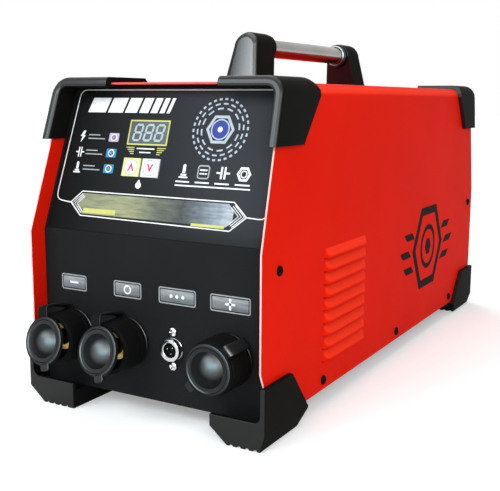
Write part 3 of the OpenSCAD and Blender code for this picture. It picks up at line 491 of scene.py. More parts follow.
def moulded(name, colour, roughness, grain, specular, gloss=0.0, gloss_from=(0.72, 0.95), gloss_way=FRONT_WAY,
            gloss_x=None, **constants):
    """Moulded plastic or rubber: fine eroded grain, faint flow marks, dust that dulls it in patches.
    Faces that look along one way can get a coat, a painted sheen that puts highlights there, and more so along a
    span of x."""
    finish = Finish(name, specular_ior_level=specular, **constants)
    flow = finish.noise(24.0, 3.0)
    fine = finish.noise(1500.0, 2.0, 0.6)
    dust = finish.between(finish.noise(70.0, 4.0, 0.65), 0.55, 0.8)
    dark = tuple(0.8 * channel for channel in colour)
    dusty = tuple(1.4 * channel for channel in colour)
    finish.set(base_color=finish.mix(dust * 0.5, finish.mix(flow, dark, colour), dusty))
    finish.set(roughness=roughness - 0.05 + 0.08 * flow + 0.1 * dust)
    # Painted sheen: a coat only on faces near one way, and along a span of x, so that highlights show there alone.
    if gloss:
        facing = finish.node("ShaderNodeVectorMath", {"operation": "DOT_PRODUCT"},
                             {0: finish.node("ShaderNodeTexCoord", output="Normal"), 1: gloss_way}, output="Value")
        painted_sheen = gloss * finish.between(facing, *gloss_from)
        finish.set(coat_weight=painted_sheen * finish.between(finish.axis("X"), *gloss_x) if gloss_x else painted_sheen)
    return finish.bump(fine, grain).material


def bright_metal(name, colour, roughness, scratch, stretch):
    """Polished or drawn metal with fine lines along one direction."""
    finish = Finish(name, metallic=1.0)
    lines = finish.noise(420.0, 3.0, 0.6, stretch)
    haze = finish.noise(30.0, 3.0)
    dull = tuple(0.86 * channel for channel in colour)
    finish.set(base_color=finish.mix(finish.between(haze, 0.3, 0.75), dull, colour))
    finish.set(roughness=roughness + 0.10 * (lines - 0.5) + 0.08 * (haze - 0.5))
    return finish.bump(lines, scratch).material


def film():
    """Printed film of the control field: satin, with painted shade that deepens its left and a painted highlight
    that pales it to its right, leaving it dark along its foot.
    """
    finish = Finish("control_film", specular_ior_level=0.006, coat_roughness=0.4)
    # Painted highlight: paler to the right and upwards, weaker near the crease; painted shade: deeper at the left.
    across = finish.between(finish.axis("X") + 0.25 * finish.axis("Z"), -10 * MM, 120 * MM)
    above = finish.between(finish.axis("Z"), CREASE_Z * MM, (CREASE_Z + 16) * MM)
    weave = finish.noise(2200.0, 1.0)
    clear_of_painted_shade = finish.between(finish.axis("X"), -95 * MM, -30 * MM)
    deep, dark, pale = (0.0070, 0.0071, 0.0072), (0.0150, 0.0155, 0.0160), (0.036, 0.039, 0.044)
    finish.set(base_color=finish.mix(across * (0.35 + 0.65 * above), finish.mix(clear_of_painted_shade, deep, dark), pale))
    finish.set(roughness=0.42 + 0.06 * weave, coat_weight=0.004 + 0.006 * finish.noise(18.0))
    return finish.bump(weave, 0.00003).material


def ink(name, colour, sheen=0.2):
    """Screen print, a little thin in places."""
    finish = Finish(name, specular_ior_level=sheen)
    thin = tuple(0.93 * channel for channel in colour)
    finish.set(base_color=finish.mix(finish.between(finish.noise(260.0, 3.0), 0.35, 0.65), thin, colour))
    finish.set(roughness=0.45 + 0.1 * finish.noise(500.0))
    return finish.material


def faded_ink(name, axis, span, *stops):
    """Screen print that fades through colours along an axis, in streaks and patches."""
    finish = Finish(name, specular_ior_level=0.2)
    low, high = span
    patches = finish.noise(75.0, 4.0, 0.65)
    along = (finish.axis(axis) - low) * (1 / (high - low)) + 0.22 * (patches - 0.5)
    streak = finish.between(finish.noise(500.0, 2.0, 0.5, (0.15, 1.0, 1.0)), 0.3, 0.7)
    colour = finish.ramp(along, *stops)
    finish.set(base_color=finish.mix(0.35 * streak, colour, (0.02, 0.02, 0.02)), roughness=0.45 + 0.1 * streak)
    return finish.material


def smoked_lens():
    """Dark clear plastic of the display window, a little hazy."""
    finish = Finish("smoked_lens", specular_ior_level=0.15, coat_weight=0.1, coat_roughness=0.08)
    haze = finish.noise(120.0, 3.0)
    finish.set(base_color=finish.mix(haze, (0.050, 0.060, 0.064), (0.066, 0.076, 0.080)))
    finish.set(roughness=0.16 + 0.1 * haze)
    return finish.material


def lamp_lens():
    """Tinted lamp heads: the upper one violet, the two below blue."""
    finish = Finish("lamp_lens", specular_ior_level=0.5, coat_weight=0.5, coat_roughness=0.1)
    upper = finish.between(finish.axis("Z"), 196.5 * MM, 198.5 * MM)
    glow = finish.noise(700.0)
    tint = finish.mix(upper, (0.02, 0.08, 0.24), (0.16, 0.11, 0.28))
    finish.set(base_color=finish.mix(0.15 * glow, tint, (0.6, 0.7, 0.9)), roughness=0.18 + 0.1 * glow)
    return finish.material


def waves(name, metallic, direction, scale, distortion, low, high, roughness, relief):
    """Rows that lie side by side, as wound wire or stacked sheets do."""
    finish = Finish(name, metallic=metallic)
    rows = finish.node("ShaderNodeTexWave", {"bands_direction": direction},
                       {"Vector": finish.place, "Scale": scale, "Distortion": distortion})
    finish.set(base_color=finish.mix(rows, low, high), roughness=roughness[0] + roughness[1] * rows)
    return finish.bump(rows, relief).material


def winding():
    """Enamelled wire."""
    return waves("copper_winding", 1.0, "Z", 320.0, 0.6, (0.30, 0.10, 0.04), (0.72, 0.33, 0.17), (0.3, 0.15),
                 0.0004)


def laminations():
    """Varnished core sheets, stacked along the depth."""
    return waves("core_laminations", 0.7, "Y", 420.0, 0.3, (0.06, 0.06, 0.065), (0.22, 0.22, 0.23), (0.45, 0.2),
                 0.00015)


def circuit_board():
    """Solder mask over a grid of tracks."""
    finish = Finish("circuit_board", specular_ior_level=0.5)
    tracks = finish.node("ShaderNodeTexBrick", {"offset": 0.37},
                         {"Vector": finish.place, "Scale": 160.0, "Mortar Size": 0.12}, output="Fac")
    finish.set(base_color=finish.mix(tracks, (0.010, 0.085, 0.035), (0.030, 0.190, 0.080)))
    finish.set(roughness=0.35 + 0.15 * finish.noise(90.0))
    return finish.bump(tracks, 0.00005).material


RED = red_paint()
BLACK_PAINT = black_paint()
BLACK = (0.0070, 0.0068, 0.0062)
RUBBER_BLACK = (0.0095, 0.0102, 0.0106)
# PLASTIC, FOOT_PLASTIC and POST_PLASTIC are copies of one black plastic, RUBBER and STRAP_RUBBER of one rubber;
# their coats face other ways as painted sheen that places highlights on the guards, feet, front post, cap domes
# and strap bands.
POST_SHINE_X = (-19 * MM, 13 * MM)
DOME_SHINE = (0.38, -0.88, 0.29)
STRAP_SHINE = (0.66, -0.36, 0.66)
PLASTIC = moulded("black_plastic", BLACK, 0.50, 0.00005, 0.008, 0.7, (0.35, 0.85), coat_roughness=0.28)
FOOT_PLASTIC = moulded("foot_plastic", BLACK, 0.50, 0.00005, 0.008, 0.5, coat_roughness=0.30)
POST_PLASTIC = moulded("post_plastic", BLACK, 0.50, 0.00005, 0.008, 1.0, (0.45, 0.85), gloss_x=POST_SHINE_X,
                       coat_roughness=0.26, coat_ior=1.75)
RUBBER = moulded("black_rubber", RUBBER_BLACK, 0.45, 0.00003, 0.012, 1.0, (0.82, 0.99), DOME_SHINE,
                 coat_roughness=0.38, coat_ior=1.6)
STRAP_RUBBER = moulded("strap_rubber", RUBBER_BLACK, 0.45, 0.00003, 0.012, 1.0, (0.80, 0.97), STRAP_SHINE,
                       coat_roughness=0.30, coat_ior=2.2)
ROTOR_PLASTIC = moulded("rotor_plastic", (0.055, 0.056, 0.058), 0.45, 0.00004, 0.02)
BARREL = moulded("barrel_plastic", (0.0060, 0.0060, 0.0056), 0.55, 0.00004, 0.02)
FILM = film()
CHROME = bright_metal("polished_steel", (0.60, 0.60, 0.59), 0.16, 0.00001, (1.0, 0.05, 1.0))
ZINC = bright_metal("zinc_plate", (0.62, 0.64, 0.66), 0.34, 0.00003, (1.0, 1.0, 0.2))
BRASS = bright_metal("turned_brass", (0.55, 0.38, 0.13), 0.30, 0.00003, (0.3, 1.0, 0.3))
COPPER = bright_metal("copper_bar", (0.80, 0.40, 0.24), 0.30, 0.00003, (1.0, 0.08, 1.0))
ALUMINIUM = bright_metal("extruded_aluminium", (0.74, 0.75, 0.76), 0.33, 0.00003, (1.0, 1.0, 0.05))
TUBE_STEEL = bright_metal("drawn_steel", (0.31, 0.30, 0.28), 0.20, 0.000004, (1.0, 0.03, 1.0))
WHITE_INK = ink("white_ink", (0.78, 0.79, 0.80))
GREY_INK = ink("grey_ink", (0.34, 0.36, 0.38))
SILVER_INK = ink("silver_ink", (0.40, 0.45, 0.52))
LIME_INK = ink("lime_ink", (0.52, 0.52, 0.14))
BLUE_INK = ink("blue_ink", (0.015, 0.22, 0.46))
DEEP_BLUE_INK = ink("deep_blue_ink", (0.020, 0.040, 0.26))
VIOLET_INK = ink("violet_ink", (0.46, 0.36, 0.54))
RED_INK = ink("red_ink", (0.66, 0.03, 0.12))
BLACK_INK = ink("black_ink", (0.010, 0.006, 0.006), 0.01)
SEGMENT_INK = ink("segment_ink", (0.36, 0.44, 0.48))
LENS = smoked_lens()
LAMP = lamp_lens()
UP_KEY = ink("up_key_face", (0.68, 0.68, 0.30))
DOWN_KEY = ink("down_key_face", (0.62, 0.64, 0.64))
SLEEVE = moulded("can_sleeve", (0.012, 0.020, 0.080), 0.30, 0.00002, 0.5)
ROCKER_RED = moulded("rocker_red", (0.55, 0.020, 0.012), 0.28, 0.00002, 0.5)
BANNER = faded_ink("banner_ink", "X", (-72 * MM, 70 * MM), (0.0, (0.24, 0.25, 0.16)), (0.34, (0.30, 0.31, 0.17)),
                   (0.52, (0.14, 0.15, 0.11)), (0.68, (0.05, 0.055, 0.055)), (0.86, (0.22, 0.26, 0.31)),
                   (1.0, (0.50, 0.55, 0.62)))
LABEL = faded_ink("label_ink", "Z", (89 * MM, 99 * MM), (0.0, (0.10, 0.11, 0.12)), (0.5, (0.24, 0.26, 0.28)),
                  (1.0, (0.36, 0.38, 0.40)))

NODE_FINISHES = {
    BLACK_PAINT: ["base_tray", "front_panel", "leaning_panel", "front_rim", "rear_panel"],
    PLASTIC: ["board_modules", "thyristor", "fan_frame"],
    ROTOR_PLASTIC: ["fan_rotor"],
    FILM: ["control_overlay"],
    TUBE_STEEL: ["handle_tube"],
    ZINC: ["handle_bolts", "socket_nuts", "capacitor_clamp"],
    BRASS: ["board_standoffs", "socket_contact_1", "socket_contact_2", "socket_contact_3"],
    COPPER: ["positive_busbar", "negative_busbar"],
    ALUMINIUM: ["heat_sink"],
    LENS: ["display_window"],
    LAMP: ["indicator_lamps"],
    SLEEVE: ["capacitors"],
    circuit_board(): ["control_board"],
    winding(): ["transformer_coil"],
    laminations(): ["transformer_core"],
}


def finish_nodes():
    """Every CAD node that stays on show gets its finish."""
    for finish, names in NODE_FINISHES.items():
        for name in names:
            mesh = nodes[name].data
            mesh.materials.clear()
            mesh.materials.append(finish)


# Cover: bent sheet with pressed louvres
LOUVRE_COUNT = 9
LOUVRE_Y = (95, 176)
LOUVRE_Z = 36.5
LOUVRE_H = 7
LOUVRE_PITCH = 9.9
LOUVRE_OUT = 3.6
LOUVRE_SLOT = 0.9
LOUVRE_END = 10
LOUVRE_MARGIN = 0.5
LOUVRE_ROWS = (0, 0.12, 0.26, 0.42, 0.6, 0.8, 1)
LOUVRE_COLUMNS = (0, 0.05, 0.14, 0.27, 0.44, 0.68, 1)


def cut(piece, point, normal, keep_all=False, test=lambda face: True):
    """Cuts the chosen faces along a plane and drops what lies beyond it, unless all is kept."""
    with picked(piece, "FACE", test):
        bpy.ops.mesh.bisect(plane_co=point, plane_no=Vector(normal).normalized(), clear_outer=not keep_all)


def louvre_bulge(y, z):
    """How far the sheet is pressed out at a place on the side wall."""
    row = int((z - LOUVRE_Z + 0.01) // LOUVRE_PITCH)
    rise = (z - LOUVRE_Z - row * LOUVRE_PITCH) / LOUVRE_H
    inside = min(y - LOUVRE_Y[0], LOUVRE_Y[1] - y) / LOUVRE_END
    if not 0 <= row < LOUVRE_COUNT or inside <= 0 or not -0.001 <= rise < 1:
        return 0
    return LOUVRE_OUT * cos(pi / 2 * max(rise, 0)) * sin(pi / 2 * min(inside, 1))


def side_wall(face):
    return abs(face.normal.x) > 0.99999 and face.center.z < CREASE_Z


def press_louvres(cover):
    """Lays a grid over both side walls, presses the hoods out and opens their lower edges."""
    for start, way in ((LOUVRE_Y[0], 1), (LOUVRE_Y[1], -1)):
        for share in (-LOUVRE_MARGIN / LOUVRE_END, *LOUVRE_COLUMNS):
            cut(cover, (0, start + way * share * LOUVRE_END, 0), (0, 1, 0), True, side_wall)

    def louvre_field(face):
        return side_wall(face) and LOUVRE_Y[0] - LOUVRE_MARGIN < face.center.y < LOUVRE_Y[1] + LOUVRE_MARGIN

    for row in range(LOUVRE_COUNT):
        low = LOUVRE_Z + row * LOUVRE_PITCH
        lines = [low + share * LOUVRE_H for share in LOUVRE_ROWS]
        for height in (low - LOUVRE_SLOT - LOUVRE_MARGIN, low - LOUVRE_SLOT, *lines, lines[-1] + LOUVRE_MARGIN):
            cut(cover, (0, 0, height), (0, 0, 1), True, louvre_field)

    def under_hood(face):
        slot = (face.center.z - LOUVRE_Z + LOUVRE_SLOT) % LOUVRE_PITCH
        top = LOUVRE_Z + (LOUVRE_COUNT - 1) * LOUVRE_PITCH
        rows = LOUVRE_Z - LOUVRE_SLOT < face.center.z < top
        columns = LOUVRE_Y[0] < face.center.y < LOUVRE_Y[1]
        return side_wall(face) and rows and columns and slot < LOUVRE_SLOT

    with picked(cover, "FACE", under_hood):
        bpy.ops.mesh.delete(type="FACE")
    pressed = {}
    for vertex in cover.data.vertices:
        place = vertex.co
        if abs(abs(place.x) - CASE_W / 2) < 0.01 and place.z < CREASE_Z - 1:
            bulge = round(louvre_bulge(place.y, place.z), 4)
            if bulge:
                pressed.setdefault(bulge if place.x > 0 else -bulge, set()).add(vertex.index)
    for bulge, points in pressed.items():
        with picked(cover, "VERT", lambda vertex: vertex.index in points):
            bpy.ops.transform.translate(value=(bulge, 0, 0))


def build_cover():
    """A box with three open sides: creased, leaned in, bent, trimmed, pressed and given its thickness."""
    height = CASE_TOP - RIDE_H
    deselect()
    bpy.ops.mesh.primitive_cube_add(size=1, location=(0, CASE_D / 2, RIDE_H + height / 2),
                                    scale=(CASE_W, CASE_D, height))
    cover = added("cover_sheet")
    with picked(cover, "FACE", lambda face: abs(face.normal.y) > 0.5 or face.normal.z < -0.5):
        bpy.ops.mesh.delete(type="FACE")
    cut(cover, (0, 0, CREASE_Z), (0, 0, 1), True)
    for side in (-1, 1):
        with picked(cover, "VERT", lambda v: v.co.z > CASE_TOP - 1 and v.co.x * side > 0):
            bpy.ops.transform.translate(value=(-side * SIDE_LEAN, 0, 0))
    bevel_edges(cover, BEND_R, 8, lambda a, b: min(a.z, b.z) > CASE_TOP - 1 and a.x * b.x > 0)
    rise = CASE_TOP - CREASE_Z
    cut(cover, (0, 0, CREASE_Z), (0, -rise, FRONT_LEAN))
    cut(cover, (0, CASE_D, CREASE_Z), (0, rise, REAR_LEAN))
    cut(cover, (0, CORNER_CUT[0], RIDE_H), (0, -CORNER_CUT[1], -CORNER_CUT[0]))
    press_louvres(cover)
    with picked(cover, "FACE"):
        closed_up()
    modify(cover, "SOLIDIFY", thickness=SHEET_T, offset=-1.0, use_even_offset=True)
    soften(cover, SHEET_ROUND, 2, 50)
    dress(settle(cover, CASE), RED, "case", "red_paint", "top_cover", angle=28)


# Corner guards, feet and rear fittings: node shapes with moulded edges
GUARD_ROUND = 1.2
LIP_FRONT = 6.8
LIP_ROUND = 3.0
FOOT_ROUND = 0.9
FOOT_WALL_Z = 20
FOOT_FILLET = 5.0
FITTINGS = {
    "switch_body": ("switch_bezel", 0.4, PLASTIC, "case", "black_plastic"),
    "switch_rocker": ("rocker_paddle", 0.5, ROCKER_RED, "rocker", "rocker_red"),
    "cable_gland": ("gland_body", 0.4, PLASTIC, "case", "black_plastic"),
    "fan_guard": ("fan_grille", 0.6, ZINC, "case", "zinc"),
}


def on_lip(place):
    return abs(place.y + LIP_FRONT - tan(SLOPE) * (place.z - CREASE_Z)) < 0.05


def build_guards():
    """Guards whose front lips are rounded into a bead."""
    for corner in CORNERS:
        guard = node_copy("guard_" + corner, "guard_shell_" + corner)
        points = guard.data.vertices
        low, reach = min(point.co.z for point in points), min(abs(point.co.x) for point in points)
        bevel_edges(guard, LIP_ROUND, 5, lambda a, b: on_lip(a) and on_lip(b) and max(a.z, b.z) > low + 0.1
                    and max(abs(a.x), abs(b.x)) > reach + 0.1)
        soften(guard, GUARD_ROUND, 3, 40)
        dress(settle(guard, CASE), PLASTIC, "case", "black_plastic", "guard_" + corner)


def at_foot_corner(place):
    return abs(abs(place.x) - CASE_W / 2) < 0.1 and abs(place.z - FOOT_WALL_Z) < 0.1


def build_feet():
    """Feet with a fillet where the end wall meets the side wall."""
    for corner in CORNERS:
        foot = node_copy("foot_" + corner, "foot_shell_" + corner)
        bevel_edges(foot, FOOT_FILLET, 6, lambda a, b: at_foot_corner(a) and at_foot_corner(b))
        soften(foot, FOOT_ROUND)
        dress(settle(foot, CASE), FOOT_PLASTIC, "case", "black_plastic", "foot_" + corner)


def build_fittings():
    for node, (name, width, finish, body, slot) in FITTINGS.items():
        dress(softened_node(node, name, width), finish, body, slot, node)


# Carrying handle: moulded posts with round outer faces, bright rings at their mouths
HANDLE_Y = (139.7, 375.7)
TUBE_MOUTH = 45
POST_ROUND = 1.6
POST_CORNER = 5
TUBE_Z = 274.5
MOUTH_RING = (8.2, 9.9)
MOUTH_RING_SPAN = (-1, 2.8)
MOUTH_RING_ROUND = 0.7


def round_post(post, way):
    """Rounds the outer face's sides and top widely, and the other edges a little."""
    points = post.data.vertices
    outer = [{points[i].co.to_tuple() for i in face.vertices} for face in post.data.polygons
             if way * face.normal.y < -0.8]
    outer = max(outer, key=lambda corners: max(z for x, y, z in corners))
    bevel_edges(post, POST_CORNER, 8,
                lambda a, b: {a.to_tuple(), b.to_tuple()} <= outer and max(a.z, b.z) > CASE_TOP + 1)
    return soften(post, POST_ROUND, 4, 40)


def build_handle():
    inner, outer = MOUTH_RING
    back, front = MOUTH_RING_SPAN
    ring = lathe("mouth_ring", rounded([(inner, back), (outer, back), (outer, front), (inner, front),
                                        (inner, back)], MOUTH_RING_ROUND))
    rings = []
    for name, end, way, finish in (("front", HANDLE_Y[0], 1, POST_PLASTIC), ("rear", HANDLE_Y[1], -1, PLASTIC)):
        post = round_post(node_copy("handle_" + name + "_post", name + "_post_shell"), way)
        dress(settle(post, CASE), finish, "case", "black_plastic", "handle_" + name + "_post")
        rings.append(duplicate(ring, CASE @ shift(0, end + way * TUBE_MOUTH, TUBE_Z) @ turn(-90 * way, "X")))
    discard(ring)
    dress(joined("handle_mouth_rings", rings), TUBE_STEEL, "case", "bright_steel", "handle_collars")


# Weld sockets with strapped dust caps
Fold = namedtuple("Fold", "rise ajar")
Socket = namedtuple("Socket", "x strap_angle fold")
AJAR, SHUT = Fold(6.5, 15), Fold(2.2, 0)
SOCKETS = {1: Socket(-69.5, 106, AJAR), 2: Socket(-19.5, 106, AJAR), 3: Socket(67.5, 45, SHUT)}
SOCKET_Z = 55.5
BARREL_R = 19
BARREL_LEN = 26
GROOVE_R = 16.6
GROOVE_W = 3
RING_R = BARREL_R - 0.1
NECK_R = 13.4
NECK_LEN = 6
MOUTH_R = 15
MOUTH_DEPTH = 11
SEAT_R = 10.05
CAP_R = 18
CAP_T = 3.5
CAP_RIM = 2.6
DOME_R = 12.6
DOME_H = 5
PLUG_R = 13.4
PLUG_WALL = 2.4
PLUG_LEN = 3
TAB_LEN = 4
TAB_W = 8
TAB_T = 2.45
TAB_CORNER = 2.2
TAB_ROUND = 0.5
STRAP_W = 8.5
STRAP_T = 1.8
STRAP_ROUND = 0.5
STRAP_BASE = 20.2
STRAP_FOLD_Z = 27.75
STRAP_STEPS = 12
FOLD_REACH = 5


def barrel_form():
    """Turned body: neck in the panel, groove, barrel with a shoulder ring and a rounded mouth."""
    face = BARREL_LEN - MOUTH_DEPTH
    profile = [(SEAT_R, -NECK_LEN), (NECK_R, -NECK_LEN), (NECK_R, 0), (GROOVE_R, 0), (GROOVE_R, GROOVE_W),
               (BARREL_R - 0.5, GROOVE_W), (BARREL_R, GROOVE_W + 0.5), (BARREL_R, GROOVE_W + 4.5),
               (BARREL_R - 0.35, GROOVE_W + 4.9), (BARREL_R - 0.35, GROOVE_W + 5.7), (BARREL_R, GROOVE_W + 6.1),
               (BARREL_R, BARREL_LEN - 1.2), (BARREL_R - 0.35, BARREL_LEN - 0.35), (BARREL_R - 1.2, BARREL_LEN),
               (MOUTH_R + 0.9, BARREL_LEN), (MOUTH_R + 0.25, BARREL_LEN - 0.25), (MOUTH_R, BARREL_LEN - 0.9),
               (MOUTH_R, face + 0.6), (MOUTH_R - 0.6, face), (SEAT_R, face), (SEAT_R, -NECK_LEN)]
    return lathe("barrel_form", profile, 72)


def cap_form():
    """Disc with a raised rim, a crowned dome, a plug ring behind and a pull tab."""
    back, front = BARREL_LEN, BARREL_LEN + CAP_T
    floor = front - 0.5
    rise = front + DOME_H - floor
    crown_r = (DOME_R ** 2 + rise ** 2) / (2 * rise)
    angles = [asin(DOME_R / crown_r) * (1 - step / 10) for step in range(11)]
    dome = [(crown_r * sin(angle), front + DOME_H - crown_r * (1 - cos(angle))) for angle in angles]
    profile = [(0, back), (PLUG_R - PLUG_WALL, back), (PLUG_R - PLUG_WALL, back - PLUG_LEN + 0.4),
               (PLUG_R - PLUG_WALL + 0.4, back - PLUG_LEN), (PLUG_R - 0.6, back - PLUG_LEN),
               (PLUG_R, back - PLUG_LEN + 0.8), (PLUG_R, back), (CAP_R - 0.7, back), (CAP_R, back + 0.7),
               (CAP_R, front - 0.8), (CAP_R - 0.25, front - 0.25), (CAP_R - 0.8, front),
               (CAP_R - CAP_RIM + 0.5, front), (CAP_R - CAP_RIM, floor + 0.1),
               (CAP_R - CAP_RIM - 0.3, floor)] + dome
    disc = lathe("cap_disc", profile, 72)
    tab_outline = box_outline(-CAP_R - TAB_LEN, -TAB_W / 2, -CAP_R + TAB_T, TAB_W / 2, TAB_CORNER)
    tab = soften(plate("cap_tab", tab_outline, front - TAB_T, front), TAB_ROUND)
    return joined("cap_form", [disc, tab])


def hinged(fold):
    """Turns a closed cap about its strap's fold to where it stands at rest."""
    x = BARREL_R + fold.rise
    return shift(x, 0, STRAP_FOLD_Z) @ turn(fold.ajar, "Y") @ shift(-x, 0, -STRAP_FOLD_Z)


def ring_form():
    """Strap ring that sits in the barrel's groove."""
    return lathe("ring_form", [(GROOVE_R + 0.1, 0.1), (RING_R - 0.5, 0.1), (RING_R, 0.6),
                               (RING_R, GROOVE_W - 0.6), (RING_R - 0.5, GROOVE_W - 0.1),
                               (GROOVE_R + 0.1, GROOVE_W - 0.1), (GROOVE_R + 0.1, 0.1)])


def band_form(fold):
    """Strap band that leaves the ring, bows out, folds over and runs into the cap, and both ends of its fold."""
    x = BARREL_R + fold.rise
    shares = [step / STRAP_STEPS for step in range(1, STRAP_STEPS + 1)]
    line = [(STRAP_BASE + (x - STRAP_BASE) * sin(pi / 2 * share), STRAP_FOLD_Z * share) for share in shares]
    open_way = Vector((-cos(radians(fold.ajar)), sin(radians(fold.ajar))))
    corner = Vector(line[-1])
    run_in = corner + open_way * (x - PLUG_R)
    bend = rounded([line[-3], corner, run_in], FOLD_REACH, 8)[1:]
    path = [(GROOVE_R + 1.2, GROOVE_W / 2), (RING_R, GROOVE_W / 2 + 0.1)] + line[:-3] + bend
    band = plate("band_form", ribbon_outline(path, STRAP_T), -STRAP_W / 2, STRAP_W / 2)
    soften(band, STRAP_ROUND, 2, 50)
    return band, Vector((corner.x, corner.y - FOLD_REACH, 0)), Vector((*(corner + open_way * FOLD_REACH), 0))


def build_band(number, form, across):
    """A copy of a band, shaped to run from the case's ring round to its cap, shaded smooth and given its finish.
    """
    shape, fold_start, fold_end = form
    band = duplicate(shape, across, "strap_band_%d" % number)
    bpy.ops.object.shade_smooth_by_angle(angle=radians(40))
    band.data.materials.append(STRAP_RUBBER)
    start, end = across @ fold_start, across @ fold_end
    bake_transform(band)


def build_sockets():
    """Every form is modelled once and copied to its sockets."""
    barrel, cap, ring = barrel_form(), cap_form(), ring_form()
    bands = {fold: band_form(fold) for fold in (AJAR, SHUT)}
    for number, socket in SOCKETS.items():
        seat = at_front(socket.x, SOCKET_Z)
        strap_seat = seat @ turn(socket.strap_angle, "Z")
        dress(duplicate(barrel, seat, "socket_barrel_%d" % number), BARREL, "case", "black_plastic",
              "socket_body_%d" % number)
        dress(duplicate(cap, strap_seat @ hinged(socket.fold), "cap_%d_shell" % number), RUBBER,
              "cap_%d" % number, "rubber", "dust_cap_%d" % number)
        dress(duplicate(ring, strap_seat, "strap_ring_%d" % number), RUBBER, "case", "rubber",
              "cap_strap_%d" % number)
        build_band(number, bands[socket.fold], strap_seat @ turn(90, "X"))
    for form in (barrel, cap, ring, *(band for band, start, end in bands.values())):
        discard(form)


# Control socket and screws
SHELL_X = 20.8
SHELL_R = 8.2
SHELL_WALL = 2.9
SHELL_OUT = 5.5
PIN_COUNT = 3
PIN_R = 0.6
SHELL_SCREW_GAP = 25.2


def pan_head(name, radius, height, shank_r, length):
    """Screw with a crowned head, a cross recess and its shank, standing on zero."""
    angles = [radians(15 * step) for step in range(7)]
    crown = [(radius * cos(angle) ** 0.7, height * (0.3 + 0.7 * sin(angle))) for angle in angles]
    crown[-1] = (0, height)
    screw = lathe(name, [(0, -length), (shank_r - 0.3, -length), (shank_r, 0.3 - length), (shank_r, 0),
                         (radius - 0.15, 0), (radius, 0.15)] + crown, 28)
    arm, slot = 0.62 * radius, 0.13 * radius
    half = [(arm, slot), (slot, slot), (slot, arm), (-slot, arm), (-slot, slot), (-arm, slot)]
    cross = half + [(-x, -y) for x, y in half]
    cutter = plate("cross_cutter", cross, 0.45 * height, 2 * height)
    modify(screw, "BOOLEAN", operation="DIFFERENCE", object=cutter)
    discard(cutter)
    return screw


def set_screws(name, screw, places, finish, slot, node):
    copies = [duplicate(screw, place) for place in places]
    dress(joined(name, copies), finish, "case", slot, node)


SIDE_SPOTS = ((24, 119), (477, 119), (97.1, 21.9), (255.9, 21.9), (418.1, 21.9))
TRAY_SPOTS = [(x, y) for x in (-42, 42) for y in (24, 477)]
FAN_X, FAN_Z = -38, 76.6
FAN_SCREW = 35.75
FAN_GUARD_T = 2


def build_screws():
    large = pan_head("large_screw", radius=3.7, height=2, shank_r=1.8, length=6)
    small = pan_head("small_screw", radius=3.4, height=2.2, shank_r=1.4, length=6)
    sides = [CASE @ shift(way * CASE_W / 2, y, z) @ turn(90 * way, "Y")
             for way in (-1, 1) for y, z in SIDE_SPOTS]
    set_screws("cover_screws", large, sides, BARREL, "black_plastic", "side_screws")
    under = [CASE @ shift(x, y, RIDE_H) @ turn(180, "X") for x, y in TRAY_SPOTS]
    fan = [at_rear(FAN_X + x, FAN_Z + z) @ shift(0, 0, FAN_GUARD_T)
           for x in (-FAN_SCREW, FAN_SCREW) for z in (-FAN_SCREW, FAN_SCREW)]
    set_screws("tray_and_fan_screws", large, under + fan, ZINC, "zinc", "panel_screws")
    pair = [at_front(SHELL_X, SOCKET_Z + way * SHELL_SCREW_GAP / 2) for way in (-1, 1)]
    set_screws("socket_screws", small, pair, CHROME, "bright_steel", "control_socket_screws")
    discard(large)
    discard(small)


def build_control_socket():
    """Bright shell with a rolled rim, dark insert with a raised middle, and its pins."""
    place = at_front(SHELL_X, SOCKET_Z)
    bore = SHELL_R - SHELL_WALL
    shell = lathe("control_shell", [(bore, -3), (SHELL_R, -3), (SHELL_R, 0.6), (SHELL_R - 0.3, 0.9),
                                    (SHELL_R - 0.3, 1.6), (SHELL_R, 1.9), (SHELL_R, SHELL_OUT - 0.7),
                                    (SHELL_R - 0.2, SHELL_OUT - 0.2), (SHELL_R - 0.6, SHELL_OUT),
                                    (bore + 0.5, SHELL_OUT), (bore, SHELL_OUT - 0.5), (bore, -3)])
    dress(settle(shell, place), CHROME, "case", "bright_steel", "control_socket_shell")
    face = SHELL_OUT / 2 - 0.6
    insert = lathe("control_insert", [(0, -3), (bore, -3), (bore, face - 0.5), (bore - 0.5, face),
                                      (bore * 0.82, face), (bore * 0.78, face + 0.5), (0, face + 0.5)])
    dress(settle(insert, place), BARREL, "case", "black_plastic", "control_socket_insert")
    pin = lathe("control_pin", [(0, 0), (PIN_R, 0), (PIN_R, SHELL_OUT - 1.6), (0.6 * PIN_R, SHELL_OUT - 1.1),
                                (0, SHELL_OUT - 0.9)], 16)
    pins = repeated(pin, [place @ turn(360 * i / PIN_COUNT + 45, "Z") @ shift(bore / 2, 0, 0)
                          for i in range(PIN_COUNT)])
    dress(joined("control_pins", pins), CHROME, "case", "bright_steel")


# Earth terminal on the rear panel: hexagon collar, threaded stud
EARTH_X, EARTH_Z = 72, 41.35
EARTH_R = 4
EARTH_OUT = 20
EARTH_HEX_R = 7.4
EARTH_HEX_H = 6
THREAD_PITCH = 1.25


